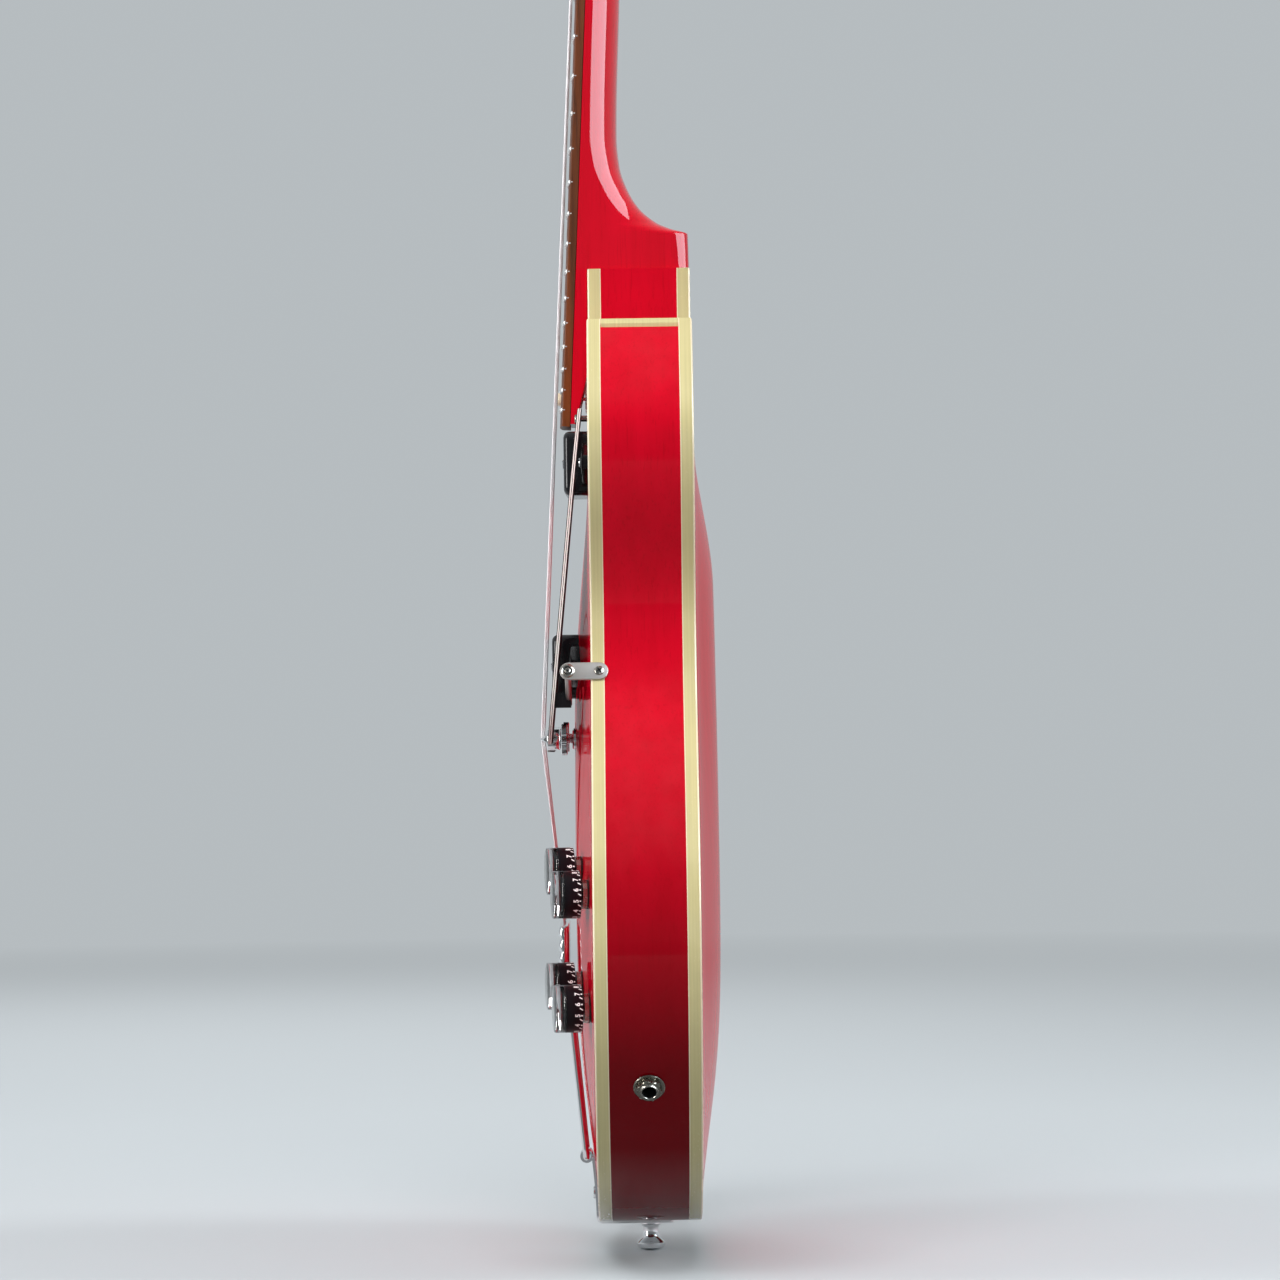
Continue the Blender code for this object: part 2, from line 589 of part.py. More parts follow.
def build_neck(finishes, body):
    """Neck with heel, tongue, tenon and headstock, its truss rod, board and nut."""
    cherry = finishes["cherry"]
    under = BOARD_THICK + GAP
    root_up, root_half, root_front, root_back = HEAD_ROOT
    root_y = crown_y(NUT_Z + root_up)
    rings = [neck_ring(NUT_Z + root_up, root_y + root_front, root_y + root_back, root_half, 2.1)]
    rings.append(neck_ring(NUT_Z + NUT_THICK, crown_y(NUT_Z + NUT_THICK) + under,
                           1.0, NUT_WIDTH / 2, 2.1))
    for height, back, square in NECK_BACK:
        z = BODY_LENGTH + height
        rings.append(neck_ring(z, crown_y(z) + under, back, board_half(NUT_Z - z), square))
    root, end = BODY_LENGTH + GAP, board_end() + TONGUE_SHORT
    for share, back in TONGUE:
        z = root + (end - root) * share
        rings.append(neck_ring(z, crown_y(z) + under, back, board_half(NUT_Z - z), 8.0))
    neck = add_object("neck", loft(rings), cherry)
    combine(neck, body["on_plate"], "DIFFERENCE")
    combine(neck, body["on_edge"], "DIFFERENCE")
    place, turn = head_frame()
    sides = [(x, y) for x, y in HEAD_OUTLINE] + [(-x, y) for x, y in reversed(HEAD_OUTLINE)]
    face = [Vector((x, y, 0)) for x, y in sides]
    rear = [Vector((x, y, -HEAD_THICK)) for x, y in sides]
    head = add_cutter("headstock", loft([face, rear]), cherry, place, turn)
    combine(neck, head, "UNION")
    half, low, root = TENON_HALF, BODY_LENGTH - TENON_LENGTH, BODY_LENGTH + TENON_ROOT
    tenon = add_cutter("tenon", box((-half, TENON_FRONT, low), (half, TENON_BACK, root)), cherry)
    combine(neck, tenon, "UNION")
    pocket = add_cutter("tenon_pocket", box(
        (-half - GAP, TENON_FRONT - GAP, low - GAP), (half + GAP, TENON_BACK + GAP, root)), cherry)
    combine(body["rim"], pocket, "DIFFERENCE")
    combine(body["block"], pocket, "DIFFERENCE")
    slot_half = ROD_RADIUS + GAP
    floor = -under - slot_half * 2 - GAP
    slot = add_cutter("rod_slot", loft([[on_neck(x, out, along) for x, out in (
        (-slot_half, floor), (slot_half, floor), (slot_half, 0), (-slot_half, 0))]
        for along in (GAP, ROD_LENGTH + GAP)]), cherry)
    combine(neck, slot, "DIFFERENCE")
    add_object("truss_rod", rod(ROD_RADIUS, 2 * GAP, ROD_LENGTH, 10), finishes["steel"],
               on_neck(0, -under - slot_half - GAP, 0), facing(on_neck(0, 0, 1) - on_neck(0, 0, 0)))
    build_board(finishes["rosewood"])
    nut = loft([[on_neck(x, out, -along) for x, out in (
        (-NUT_WIDTH / 2, -BOARD_THICK), (NUT_WIDTH / 2, -BOARD_THICK),
        (NUT_WIDTH / 2, NUT_PROUD - crown_drop(NUT_WIDTH / 2)), (0, NUT_PROUD),
        (-NUT_WIDTH / 2, NUT_PROUD - crown_drop(NUT_WIDTH / 2)))]
        for along in (GAP, NUT_THICK)])
    add_object("nut", nut, finishes["bone"])
    return neck


def build_board(material):
    """The fingerboard with its frets seated, as one run of level slices."""
    def board_slice(along, lift):
        half = board_half(along)
        ring = [on_neck(-half, -BOARD_THICK, along), on_neck(half, -BOARD_THICK, along)]
        for share in (1.0, 0.5, 0.0, -0.5, -1.0):
            x = half * share
            ring.append(on_neck(x, lift - crown_drop(x), along))
        return ring

    rings = [board_slice(0.0, 0.0)]
    for fret in range(1, FRETS + 1):
        along = SCALE_LENGTH * (1 - 2 ** (-fret / 12))
        rings.append(board_slice(along - FRET_WIDE / 2, 0.0))
        rings.append(board_slice(along, FRET_HIGH))
        rings.append(board_slice(along + FRET_WIDE / 2, 0.0))
    rings.append(board_slice(BOARD_LENGTH, 0.0))
    add_object("fingerboard", loft(rings), material)


def build_tuners(finishes, neck):
    """Two plates with three gear housings each, six posts and six buttons."""
    nickel = finishes["nickel"]
    place, turn = head_frame()
    half_wide, half_long, thick = TUNER_PLATE
    house_x, house_y, house_z = HOUSING
    plate_front = -HEAD_THICK - GAP
    middle = TUNER_HEIGHTS[1]
    for side, name in ((-1, "bass"), (1, "treble")):
        centre = side * POST_X
        plate = add_object(f"tuner_plate_{name}", box(
            (centre - half_wide, middle - half_long, plate_front - thick),
            (centre + half_wide, middle + half_long, plate_front)), nickel, place, turn)
        for number, up in enumerate(TUNER_HEIGHTS, 1):
            housing = add_cutter(f"housing_{name}_{number}", box(
                (centre - house_x, up - house_y, plate_front - thick - house_z),
                (centre + house_x, up + house_y, plate_front - thick / 2)), nickel, place, turn)
            combine(plate, housing, "UNION")
            at = on_head(centre, up, 0)
            bore = add_cutter(f"post_bore_{name}_{number}", rod(
                POST_RADIUS + 2 * GAP, -HEAD_THICK - 5, 5, 12), nickel, at, turn)
            combine(neck, bore, "DIFFERENCE")
            post = ((0, plate_front + GAP), (POST_RADIUS, plate_front + GAP),
                    (POST_RADIUS, POST_HIGH - 3.5), (POST_RADIUS - 0.6, POST_HIGH - 2.5),
                    (POST_RADIUS, POST_HIGH - 0.6), (POST_RADIUS - 0.6, POST_HIGH), (0, POST_HIGH))
            add_object(f"tuner_post_{name}_{number}", turned(post, 10), nickel, at, turn)
            start = house_x + GAP
            long = BUTTON_END - POST_X
            neck_end = BUTTON_START - POST_X
            button = ((0, start), (1.6, start), (1.6, neck_end), (3.2, neck_end + 0.5),
                      (BUTTON_RADIUS - 2, neck_end + 3), (BUTTON_RADIUS, neck_end + 8),
                      (BUTTON_RADIUS - 1.5, long - 2), (3.5, long), (0, long))
            axis_turn = turn @ Matrix.Rotation(side * math.pi / 2, 3, "Y")
            shape = turned(button, 10)
            bmesh.ops.scale(shape, vec=(0.45, 1.0, 1.0), verts=[
                v for v in shape.verts if v.co.z > neck_end + 0.1])
            add_object(f"tuner_button_{name}_{number}", shape, finishes["bone"],
                       on_head(centre, up, plate_front - thick - house_z / 2), axis_turn)


def post_for(number):
    """The side and the height of the post that holds a string."""
    side = -1 if number < 3 else 1
    step = number if number < 3 else len(GAUGES) - 1 - number
    return side, TUNER_HEIGHTS[step]


def build_strings(material):
    """Six strings, each one piece from its post to the tailpiece."""
    for number, gauge in enumerate(GAUGES):
        radius = gauge / 2
        bridge_x = string_x(number, BRIDGE_SPREAD)
        nut_x = string_x(number, NUT_SPREAD)
        side, up = post_for(number)
        wrap_x = side * (POST_X - POST_RADIUS - GAP - radius)
        bar_y = sum(CROSSBAR_Y) / 2
        points = [
            Vector((bridge_x, bar_y, CROSSBAR[2] + GAP)),
            Vector((bridge_x, saddle_y(number), BRIDGE_Z)),
            on_neck(nut_x, NUT_PROUD - crown_drop(nut_x) + GAP + radius, -NUT_THICK),
            on_head(wrap_x, up, STRING_AT_POST),
        ]
        add_object(f"string_{len(GAUGES) - number}", tube(points, radius), material)


def build_bridge(finishes, body):
    """Bridge with six saddles on two threaded studs with thumbwheels."""
    chrome = finishes["chrome"]
    half_x, half_z = BRIDGE_HALF
    bridge = add_object("bridge_body", box((-half_x, BRIDGE_FRONT, BRIDGE_Z - half_z),
                                           (half_x, BRIDGE_BACK, BRIDGE_Z + half_z)), chrome)
    wide, long = CHANNEL_HALF
    channel = add_cutter("saddle_channel", box(
        (-wide, BRIDGE_FRONT - 5, BRIDGE_Z - long), (wide, CHANNEL_FLOOR, BRIDGE_Z + long)), chrome)
    combine(bridge, channel, "DIFFERENCE")
    front = facing((0, -1, 0))
    stud_top = -BRIDGE_FRONT - 2
    wheel_front = -BRIDGE_BACK - GAP
    for side, name in ((-1, "bass"), (1, "treble")):
        at = (side * STUD_X, 0, BRIDGE_Z)
        stud = ((0, -STUD_END), (STUD_RADIUS, -STUD_END), (STUD_RADIUS, wheel_front - WHEEL_THICK),
                (WHEEL_RADIUS, wheel_front - WHEEL_THICK), (WHEEL_RADIUS, wheel_front),
                (STUD_RADIUS, wheel_front), (STUD_RADIUS, stud_top), (0, stud_top))
        add_object(f"bridge_stud_{name}", turned(stud, 20), chrome, at, front)
        socket = add_cutter(f"stud_socket_{name}", rod(
            STUD_RADIUS + GAP, -STUD_END - GAP - BRIDGE_TRAVEL, stud_top + GAP, 12),
            chrome, at, front)
        for piece in (bridge, body["top"], body["block"]):
            combine(piece, socket, "DIFFERENCE")
    for number, gauge in enumerate(GAUGES):
        x = string_x(number, BRIDGE_SPREAD)
        crest = saddle_y(number) + gauge / 2 + GAP
        floor = CHANNEL_FLOOR - GAP
        half = SADDLE_DEEP / 2
        outline = ((floor, -half), (crest + 1.4, -half), (crest, -0.4), (crest, 0.4),
                   (crest + 1.4, half), (floor, half))
        shape = loft([[Vector((x + s * SADDLE_WIDE / 2, y, BRIDGE_Z + z)) for y, z in outline]
                      for s in (-1, 1)])
        add_object(f"saddle_{len(GAUGES) - number}", shape, chrome)


def hinge_y():
    """The depth of the tailpiece's hinge, in front of the bracket's upper end."""
    knuckle_radius = FRAME_ROD + GAP + KNUCKLE_WALL
    return top_y(0, HINGE_Z) - GAP - BRACKET_THICK - (knuckle_radius - KNUCKLE_SINK)


def build_tailpiece(finishes, body):
    """Trapeze frame with its crossbar, hinged in a bracket bent over the body's end."""
    chrome = finishes["chrome"]
    depth = hinge_y()
    bar_half, bar_low, bar_high = CROSSBAR
    bar_y = sum(CROSSBAR_Y) / 2
    bar_z = (bar_low + bar_high) / 2
    out, front, up = FRAME_BEND
    loop = [Vector((-FRAME_FOOT, depth, HINGE_Z)), Vector((FRAME_FOOT, depth, HINGE_Z)),
            Vector((FRAME_FOOT + out, depth - front, HINGE_Z + up)),
            Vector((FRAME_SHOULDER, bar_y, bar_z)), Vector((-FRAME_SHOULDER, bar_y, bar_z)),
            Vector((-FRAME_FOOT - out, depth - front, HINGE_Z + up))]
    frame = add_object("tailpiece_frame", tube(loop, FRAME_ROD, 8, closed=True), chrome)
    bar = add_cutter("crossbar", box((-bar_half, CROSSBAR_Y[0], bar_low),
                                     (bar_half, CROSSBAR_Y[1], bar_high)), chrome)
    combine(frame, bar, "UNION")
    rest = [(top_y(0, z) - GAP, z) for z in (HINGE_Z, HINGE_Z * 0.6, HINGE_Z * 0.25)]
    rest += [(-HALF_DEPTH - GAP, -GAP), (BRACKET_TAIL, -GAP)]
    outer = [(BRACKET_TAIL, -GAP - BRACKET_THICK), (-HALF_DEPTH - GAP - BRACKET_THICK,
                                                    -GAP - BRACKET_THICK)]
    outer += [(y - BRACKET_THICK, z) for y, z in reversed(rest[:3])]
    bracket = add_object("tailpiece_bracket", loft([
        [Vector((s * BRACKET_HALF, y, z)) for y, z in rest + outer] for s in (-1, 1)]), chrome)
    sideways = facing((1, 0, 0))
    at = (0, depth, HINGE_Z)
    inner = FRAME_ROD + GAP
    knuckle_half = BRACKET_HALF - 0.5
    knuckle = add_cutter("knuckle", rod(inner + KNUCKLE_WALL, -knuckle_half, knuckle_half, 14),
                         chrome, at, sideways)
    bore = add_cutter("knuckle_bore", rod(inner, -BRACKET_HALF - 2, BRACKET_HALF + 2, 14),
                      chrome, at, sideways)
    combine(bracket, knuckle, "UNION")
    combine(bracket, bore, "DIFFERENCE")
    button = ((0, -STRAP_SCREW_LONG), (STRAP_SCREW_RADIUS, -STRAP_SCREW_LONG),
              (STRAP_SCREW_RADIUS, 0), (STRAP_FOOT_RADIUS, 0), (STRAP_WAIST_RADIUS, 4),
              (STRAP_WAIST_RADIUS, 7), (STRAP_BUTTON_RADIUS, STRAP_BUTTON_HIGH - 3.5),
              (STRAP_BUTTON_RADIUS, STRAP_BUTTON_HIGH - 1.5),
              (STRAP_BUTTON_RADIUS - 2, STRAP_BUTTON_HIGH), (0, STRAP_BUTTON_HIGH))
    down = facing((0, 0, -1))
    seat = (0, 0, -BRACKET_THICK - 2 * GAP)
    add_object("strap_button", turned(button), chrome, seat, down)
    hole = add_cutter("strap_screw_hole", rod(
        STRAP_SCREW_RADIUS + GAP, -STRAP_SCREW_LONG - GAP, 3, 12), chrome, seat, down)
    for piece in (bracket, body["rim"], body["block"]):
        combine(piece, hole, "DIFFERENCE")


def rounded_rectangle(half_x, half_z, corner, middle_z):
    """An (x, z) outline with round corners."""
    points = []
    for quarter, (sx, sz) in enumerate(((1, 1), (-1, 1), (-1, -1), (1, -1))):
        for k in range(4):
            angle = math.pi / 2 * (quarter + k / 3)
            points.append((sx * (half_x - corner) + corner * math.cos(angle),
                           middle_z + sz * (half_z - corner) + corner * math.sin(angle)))
    return points


def build_pickups(finishes, body):
    """Two covers with screw ears, each over a coil; returns the room for the treble ears."""
    black = finishes["black"]
    half_x, half_z = PICKUP_HALF
    ears = []
    for name, (z, front) in PICKUPS.items():
        base = -HALF_DEPTH + 2
        wall = PICKUP_WALL
        levels = ((0.0, base), (0.0, front + 2.0), (2.0, front))
        outside = [[Vector((x, y, pz)) for x, pz in rounded_rectangle(
            half_x - inset, half_z - inset, PICKUP_CORNER, z)] for inset, y in reversed(levels)]
        inside = [[Vector((x, y, pz)) for x, pz in rounded_rectangle(
            half_x - wall, half_z - wall, PICKUP_CORNER - wall / 2, z)]
            for y in (base, front + wall)]
        cover = add_object(f"pickup_cover_{name}", loft(outside + inside), black)
        for side in (-1, 1):
            root = half_x - wall / 2
            low = top_y(half_x, z) - EAR_HIGH
            ear = ((side * root, z - EAR_HALF), (side * EAR_REACH, z - 3),
                   (side * EAR_REACH, z + 3), (side * root, z + EAR_HALF))
            lug = add_cutter(f"ear_{name}_{side}", prism(ear, low, base), black)
            combine(cover, lug, "UNION")
            room = [(x + side * (1.2 if abs(x) == EAR_REACH else -3), pz + (1.5 if pz > z else -1.5))
                    for x, pz in ear]
            if side == 1:
                ears.append(add_cutter(f"ear_room_{name}", prism(room, -CUT_REACH, 0), black))
        combine(cover, body["on_plate"], "DIFFERENCE")
        coil_x, coil_z = COIL_HALF
        deep = front + PICKUP_WALL + GAP + COIL_DEEP
        stack = ((0.0, deep), (0.0, deep - 3), (3.0, deep - 4), (3.0, front + wall + 3),
                 (0.0, front + wall + 2), (0.0, front + wall + GAP))
        coil = loft([[Vector((x, y, pz)) for x, pz in rounded_rectangle(
            coil_x - inset, coil_z - inset, 4.0, z)] for inset, y in stack])
        add_object(f"pickup_coil_{name}", coil, finishes["black"])
        well = add_cutter(f"coil_well_{name}", box(
            (-coil_x - 1, -CUT_REACH, z - coil_z - 1), (coil_x + 1, deep + GAP, z + coil_z + 1)), black)
        combine(body["top"], well, "DIFFERENCE")
        combine(body["block"], well, "DIFFERENCE")
    return ears


def guard_tip():
    """The corner of the pickguard beside the fingerboard."""
    return BOARD_END_WIDTH / 2 + GUARD_FROM_BOARD, BODY_LENGTH - GUARD_BELOW_END


def guard_outline():
    """The pickguard's (x, z) outline, round from its tip by the treble edge."""
    tip_x, tip_z = guard_tip()
    near = PICKUP_HALF[0] + GUARD_FROM_PICKUP
    low = tip_z - GUARD_CURVE[-1][1]
    curve = [(x, tip_z - down) for x, down in GUARD_CURVE]
    notch = tip_z - GUARD_NOTCH
    return [(tip_x, tip_z)] + curve + [(near, low), (near, notch), (tip_x, notch)]


def guard_y(x, z):
    """The front face of the pickguard, which leans away from the top."""
    return GUARD_NEAR_NECK - (guard_tip()[1] - z) * GUARD_SLOPE


def outline_at(z):
    """The treble edge of the body at a height: its x and its outward normal."""
    best = None
    for i, here in enumerate(OUTLINE):
        before = OUTLINE[i - 1]
        if before[0] <= 0 or here[0] <= 0 or not min(before[1], here[1]) <= z <= max(
                before[1], here[1]):
            continue
        share = (z - before[1]) / (here[1] - before[1])
        x = before[0] + (here[0] - before[0]) * share
        if best is None or x > best[0]:
            edge = Vector(here) - Vector(before)
            best = (x, Vector((edge.y, 0, -edge.x)).normalized())
    return best


def build_guard(finishes, body, ears):
    """Floating pickguard with its peg, and the bracket that holds it off the side."""
    guard = add_object("pickguard", prism(
        guard_outline(), guard_y, lambda x, z: guard_y(x, z) + GUARD_THICK), finishes["black"])
    for room in ears:
        combine(guard, room, "DIFFERENCE")
    tip_x, tip_z = guard_tip()
    x, z = tip_x + GUARD_PEG_IN[0], tip_z - GUARD_PEG_IN[1]
    peg = add_cutter("guard_peg", rod(GUARD_PEG_RADIUS, HALF_DEPTH, -guard_y(x, z) - 1, 10),
                     finishes["nickel"], (x, 0, z), facing((0, -1, 0)))
    combine(guard, peg, "UNION")
    combine(guard, body["on_plate"], "DIFFERENCE")
    plate_z = tip_z - SIDE_PLATE_BELOW_TIP
    edge_x, normal = outline_at(plate_z)
    turn = Matrix((Vector((normal.z, 0, -normal.x)), Vector((0, 1, 0)), normal)).transposed()
    at = Vector((edge_x, 0, plate_z))
    radius = SIDE_PLATE_WIDE / 2
    front, back = SIDE_PLATE_Y
    outline = []
    for middle, start in ((back - radius, 0), (front + radius, math.pi)):
        for k in range(8):
            angle = start + math.pi * k / 7
            outline.append((radius * math.cos(angle), middle + radius * math.sin(angle)))
    plate = add_object("pickguard_bracket", loft([
        [Vector((px, py, h)) for px, py in outline] for h in (GAP, GAP + SIDE_PLATE_THICK)]),
        finishes["nickel"], at, turn)
    arm = add_cutter("bracket_arm", rod(SIDE_ROD_RADIUS, -SIDE_ROD_LENGTH, GAP + 0.5, 10),
                     finishes["nickel"], at + Vector((0, SIDE_ROD_Y, 0)), turn)
    combine(plate, arm, "UNION")
    pad_at = at - normal * (SIDE_ROD_LENGTH - 6)
    pad_front = guard_y(0, pad_at.z - 4) + GUARD_THICK + GAP + 0.5
    pad = add_cutter("bracket_pad", box((pad_at.x - 4, pad_front, pad_at.z - 4),
                                        (pad_at.x + 4, SIDE_ROD_Y + 1, pad_at.z + 4)),
                     finishes["nickel"])
    combine(plate, pad, "UNION")


def control_turn(x):
    """The lean of a control towards the side it sits on."""
    lean = KNOB_TILT if x > 0 else 0.0
    return facing((math.sin(lean), -math.cos(lean), 0))


def build_controls(finishes, body):
    """Four knobs on potentiometers, the toggle switch and the output jack."""
    black, nickel = finishes["black"], finishes["nickel"]
    under = -PLATE - POT_CLEARANCE
    for name, (inward_by, up) in KNOB_PLACES.items():
        x, z = LOWER_HALF_WIDTH - inward_by, LOWER_WIDEST + up
        at, turn = (x, top_y(x, z), z), control_turn(x)
        knob = ((0, -SHAFT_DEEP), (SHAFT_RADIUS, -SHAFT_DEEP), (SHAFT_RADIUS, KNOB_BASE),
                (KNOB_RADIUS - KNOB_EDGE, KNOB_BASE), (KNOB_RADIUS, KNOB_BASE + KNOB_EDGE),
                (KNOB_RADIUS - KNOB_EDGE, KNOB_TOP - KNOB_EDGE),
                (KNOB_RADIUS - 2 * KNOB_EDGE, KNOB_TOP), (0, KNOB_TOP))
        add_object(f"knob_{name}", turned(knob, 20), black, at, turn)
        bore = SHAFT_RADIUS + GAP
        nut_low, nut_high = BUSH_NUT
        pot = ((0, under - POT_DEEP), (POT_RADIUS, under - POT_DEEP), (POT_RADIUS, under),
               (BUSH_RADIUS, under), (BUSH_RADIUS, nut_low), (BUSH_NUT_RADIUS, nut_low),
               (BUSH_NUT_RADIUS, nut_high), (bore, nut_high),
               (bore, -SHAFT_DEEP - GAP), (0, -SHAFT_DEEP - GAP))
        add_object(f"potentiometer_{name}", turned(pot, 14), nickel, at, turn)
        hole = add_cutter(f"pot_hole_{name}", rod(BUSH_RADIUS + GAP, -15, 15, 14), black, at, turn)
        combine(body["top"], hole, "DIFFERENCE")
    x, z = SWITCH_FROM_SIDE - UPPER_HALF_WIDTH, BODY_LENGTH - SWITCH_BELOW_END
    at, turn = (x, top_y(x, z), z), control_turn(x)
    seat = SWITCH_PIVOT - SWITCH_SEAT - GAP
    switch = ((0, -SWITCH_DEEP), (SWITCH_RADIUS, -SWITCH_DEEP), (SWITCH_RADIUS, under),
              (SWITCH_BUSH_RADIUS, under), (SWITCH_BUSH_RADIUS, GAP), (SWITCH_NUT_RADIUS, GAP),
              (SWITCH_NUT_RADIUS, SWITCH_NUT_HIGH), (SWITCH_MOUTH, SWITCH_NUT_HIGH),
              (SWITCH_SEAT, seat), (0, seat))
    add_object("switch_body", turned(switch, 16), nickel, at, turn)
    low, tip = -LEVER_RADIUS - 2 * GAP, LEVER_TIP_START - SWITCH_PIVOT
    top = LEVER_HIGH - SWITCH_PIVOT
    lever = ((0, low), (LEVER_RADIUS, low), (LEVER_RADIUS, tip), (LEVER_TIP_RADIUS * 0.65, tip + 0.2),
             (LEVER_TIP_RADIUS - 0.2, tip + 3), (LEVER_TIP_RADIUS, top - 5),
             (LEVER_TIP_RADIUS * 0.75, top - 1.4), (0, top))
    pivot = Vector(at) + turn @ Vector((0, 0, SWITCH_PIVOT))
    add_object("switch_lever", turned(lever, 12), finishes["bone"], pivot, turn)
    hole = add_cutter("switch_hole", rod(SWITCH_BUSH_RADIUS + GAP, -15, 15, 16), black, at, turn)
    combine(body["top"], hole, "DIFFERENCE")
    build_jack(nickel, body["rim"])


def build_jack(material, rim):
    """The output socket in the side, held by a washer and a nut."""
    edge_x, normal = outline_at(JACK_Z)
    inside = -RIM_WALL - 3 * GAP
    washer_radius, washer_high = JACK_WASHER
    nut_radius, nut_high = JACK_NUT
    contacts = -JACK_DEEP / 3
    jack = ((0, -JACK_DEEP), (JACK_CONTACTS_RADIUS, -JACK_DEEP), (JACK_CONTACTS_RADIUS, contacts),
            (JACK_COLLAR_RADIUS, contacts), (JACK_COLLAR_RADIUS, inside),
            (JACK_BARREL_RADIUS, inside), (JACK_BARREL_RADIUS, GAP), (washer_radius, GAP),
            (washer_radius, washer_high), (nut_radius, washer_high), (nut_radius, nut_high),
            (JACK_BARREL_RADIUS, nut_high), (JACK_BARREL_RADIUS, JACK_FACE), (JACK_BORE, JACK_FACE),
            (JACK_BORE, 4 - JACK_DEEP), (0, 4 - JACK_DEEP))
    at, turn = (edge_x, 0, JACK_Z), facing(normal)
    add_object("jack_socket", turned(jack, 20), material, at, turn)
    hole = add_cutter("jack_hole", rod(JACK_BARREL_RADIUS + GAP, -8, 8, 16), material, at, turn)
    combine(rim, hole, "DIFFERENCE")


def main():
    """Build the whole guitar."""
    clear_scene()
    finishes = make_finishes()
    body = build_body(finishes)
    neck = build_neck(finishes, body)
    build_tuners(finishes, neck)
    build_strings(finishes["steel"])
    build_bridge(finishes, body)
    build_tailpiece(finishes, body)
    ears = build_pickups(finishes, body)
    build_guard(finishes, body, ears)
    build_controls(finishes, body)


if __name__ == "__main__":
    main()
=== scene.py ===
"""A cherry semi-hollow electric guitar in a soft studio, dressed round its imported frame.

Sizes are millimetres until a Shape becomes an object, which is in metres.  +Z runs
up the neck, the strings face -Y and the treble side is +X.  The origin is the lower
end of the body, half way through its depth.
"""

import logging
import math
from dataclasses import dataclass, field, replace
from enum import Enum
from typing import Callable, Optional, Sequence

import bmesh
import bpy
import numpy as np
from mathutils import Matrix, Vector


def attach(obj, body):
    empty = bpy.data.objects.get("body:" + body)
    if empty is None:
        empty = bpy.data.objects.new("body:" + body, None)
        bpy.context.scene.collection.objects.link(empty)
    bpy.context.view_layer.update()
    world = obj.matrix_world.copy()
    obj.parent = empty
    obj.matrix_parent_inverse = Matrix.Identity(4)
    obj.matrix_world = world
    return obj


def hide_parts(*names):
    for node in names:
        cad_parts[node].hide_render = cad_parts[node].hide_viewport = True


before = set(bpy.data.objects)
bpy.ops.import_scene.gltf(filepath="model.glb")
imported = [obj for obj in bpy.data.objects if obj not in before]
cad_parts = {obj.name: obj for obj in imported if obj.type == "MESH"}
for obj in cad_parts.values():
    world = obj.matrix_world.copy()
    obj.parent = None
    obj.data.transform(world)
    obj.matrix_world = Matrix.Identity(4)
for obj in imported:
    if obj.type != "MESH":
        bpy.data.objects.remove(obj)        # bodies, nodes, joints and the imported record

LOG = logging.getLogger("guitar")
MM = 0.001
Point = Sequence[float]
Ring = list[int]
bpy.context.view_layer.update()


# ---------------------------------------------------------------- mesh making

def facing(direction: Point) -> Matrix:
    """Find the rotation that turns +Z to a direction.

    Args:
        direction: The way that local +Z points.

    Returns:
        A 3x3 rotation with local +X kept as level as it can be.
    """
    return Vector(direction).to_track_quat("Z", "Y").to_matrix()


def bezier(start: Point, first: Point, second: Point, end: Point, steps: int) -> list[tuple]:
    """Walk along a cubic curve, leaving out its last point.

    Args:
        start: Where the curve starts.
        first: Its first handle.
        second: Its second handle.
        end: Where it ends.
        steps: How many points to give.

    Returns:
        The points, as many as steps.
    """
    points = []
    for k in range(steps):
        t = k / steps
        points.append(tuple(
            (1 - t) ** 3 * a + 3 * (1 - t) ** 2 * t * b + 3 * (1 - t) * t * t * c + t ** 3 * d
            for a, b, c, d in zip(start, first, second, end)
        ))
    return points


def through(knots: Sequence[Point], steps: int) -> list[Vector]:
    """Draw one smooth curve through some points.

    Args:
        knots: The points that the curve passes, in order.
        steps: Points for each stretch between two of them.

    Returns:
        Points along a Catmull-Rom curve, its two ends included.
    """
    knots = [Vector(k) for k in knots]
    ends = [2 * knots[0] - knots[1], *knots, 2 * knots[-1] - knots[-2]]
    points = []
    for a, b, c, d in zip(ends, ends[1:], ends[2:], ends[3:]):
        for k in range(steps):
            t = k / steps
            points.append(0.5 * (2 * b + (c - a) * t + (2 * a - 5 * b + 4 * c - d) * t * t
                                 + (3 * b - a - 3 * c + d) * t ** 3))
    return points + [knots[-1]]


def rise_through(knots: Sequence[Point], at: float) -> float:
    """Read a smooth curve that never overshoots its knots.

    Args:
        knots: Pairs of place and value, by rising place.
        at: The place to read.

    Returns:
        The value there, by monotone cubic interpolation.
    """
    xs = [k[0] for k in knots]
    ys = [k[1] for k in knots]
    if at <= xs[0]:
        return ys[0]
    if at >= xs[-1]:
        return ys[-1]
    slopes = [(y2 - y1) / (x2 - x1) for x1, x2, y1, y2 in zip(xs, xs[1:], ys, ys[1:])]
    tangents = [slopes[0]]
    for a, b in zip(slopes, slopes[1:]):
        tangents.append(0.0 if a * b <= 0 else 2 * a * b / (a + b))
    tangents.append(slopes[-1])
    i = max(k for k in range(len(xs) - 1) if xs[k] <= at)
    wide = xs[i + 1] - xs[i]
    t = (at - xs[i]) / wide
    return ((2 * t ** 3 - 3 * t * t + 1) * ys[i] + (t ** 3 - 2 * t * t + t) * wide * tangents[i]
            + (3 * t * t - 2 * t ** 3) * ys[i + 1] + (t ** 3 - t * t) * wide * tangents[i + 1])


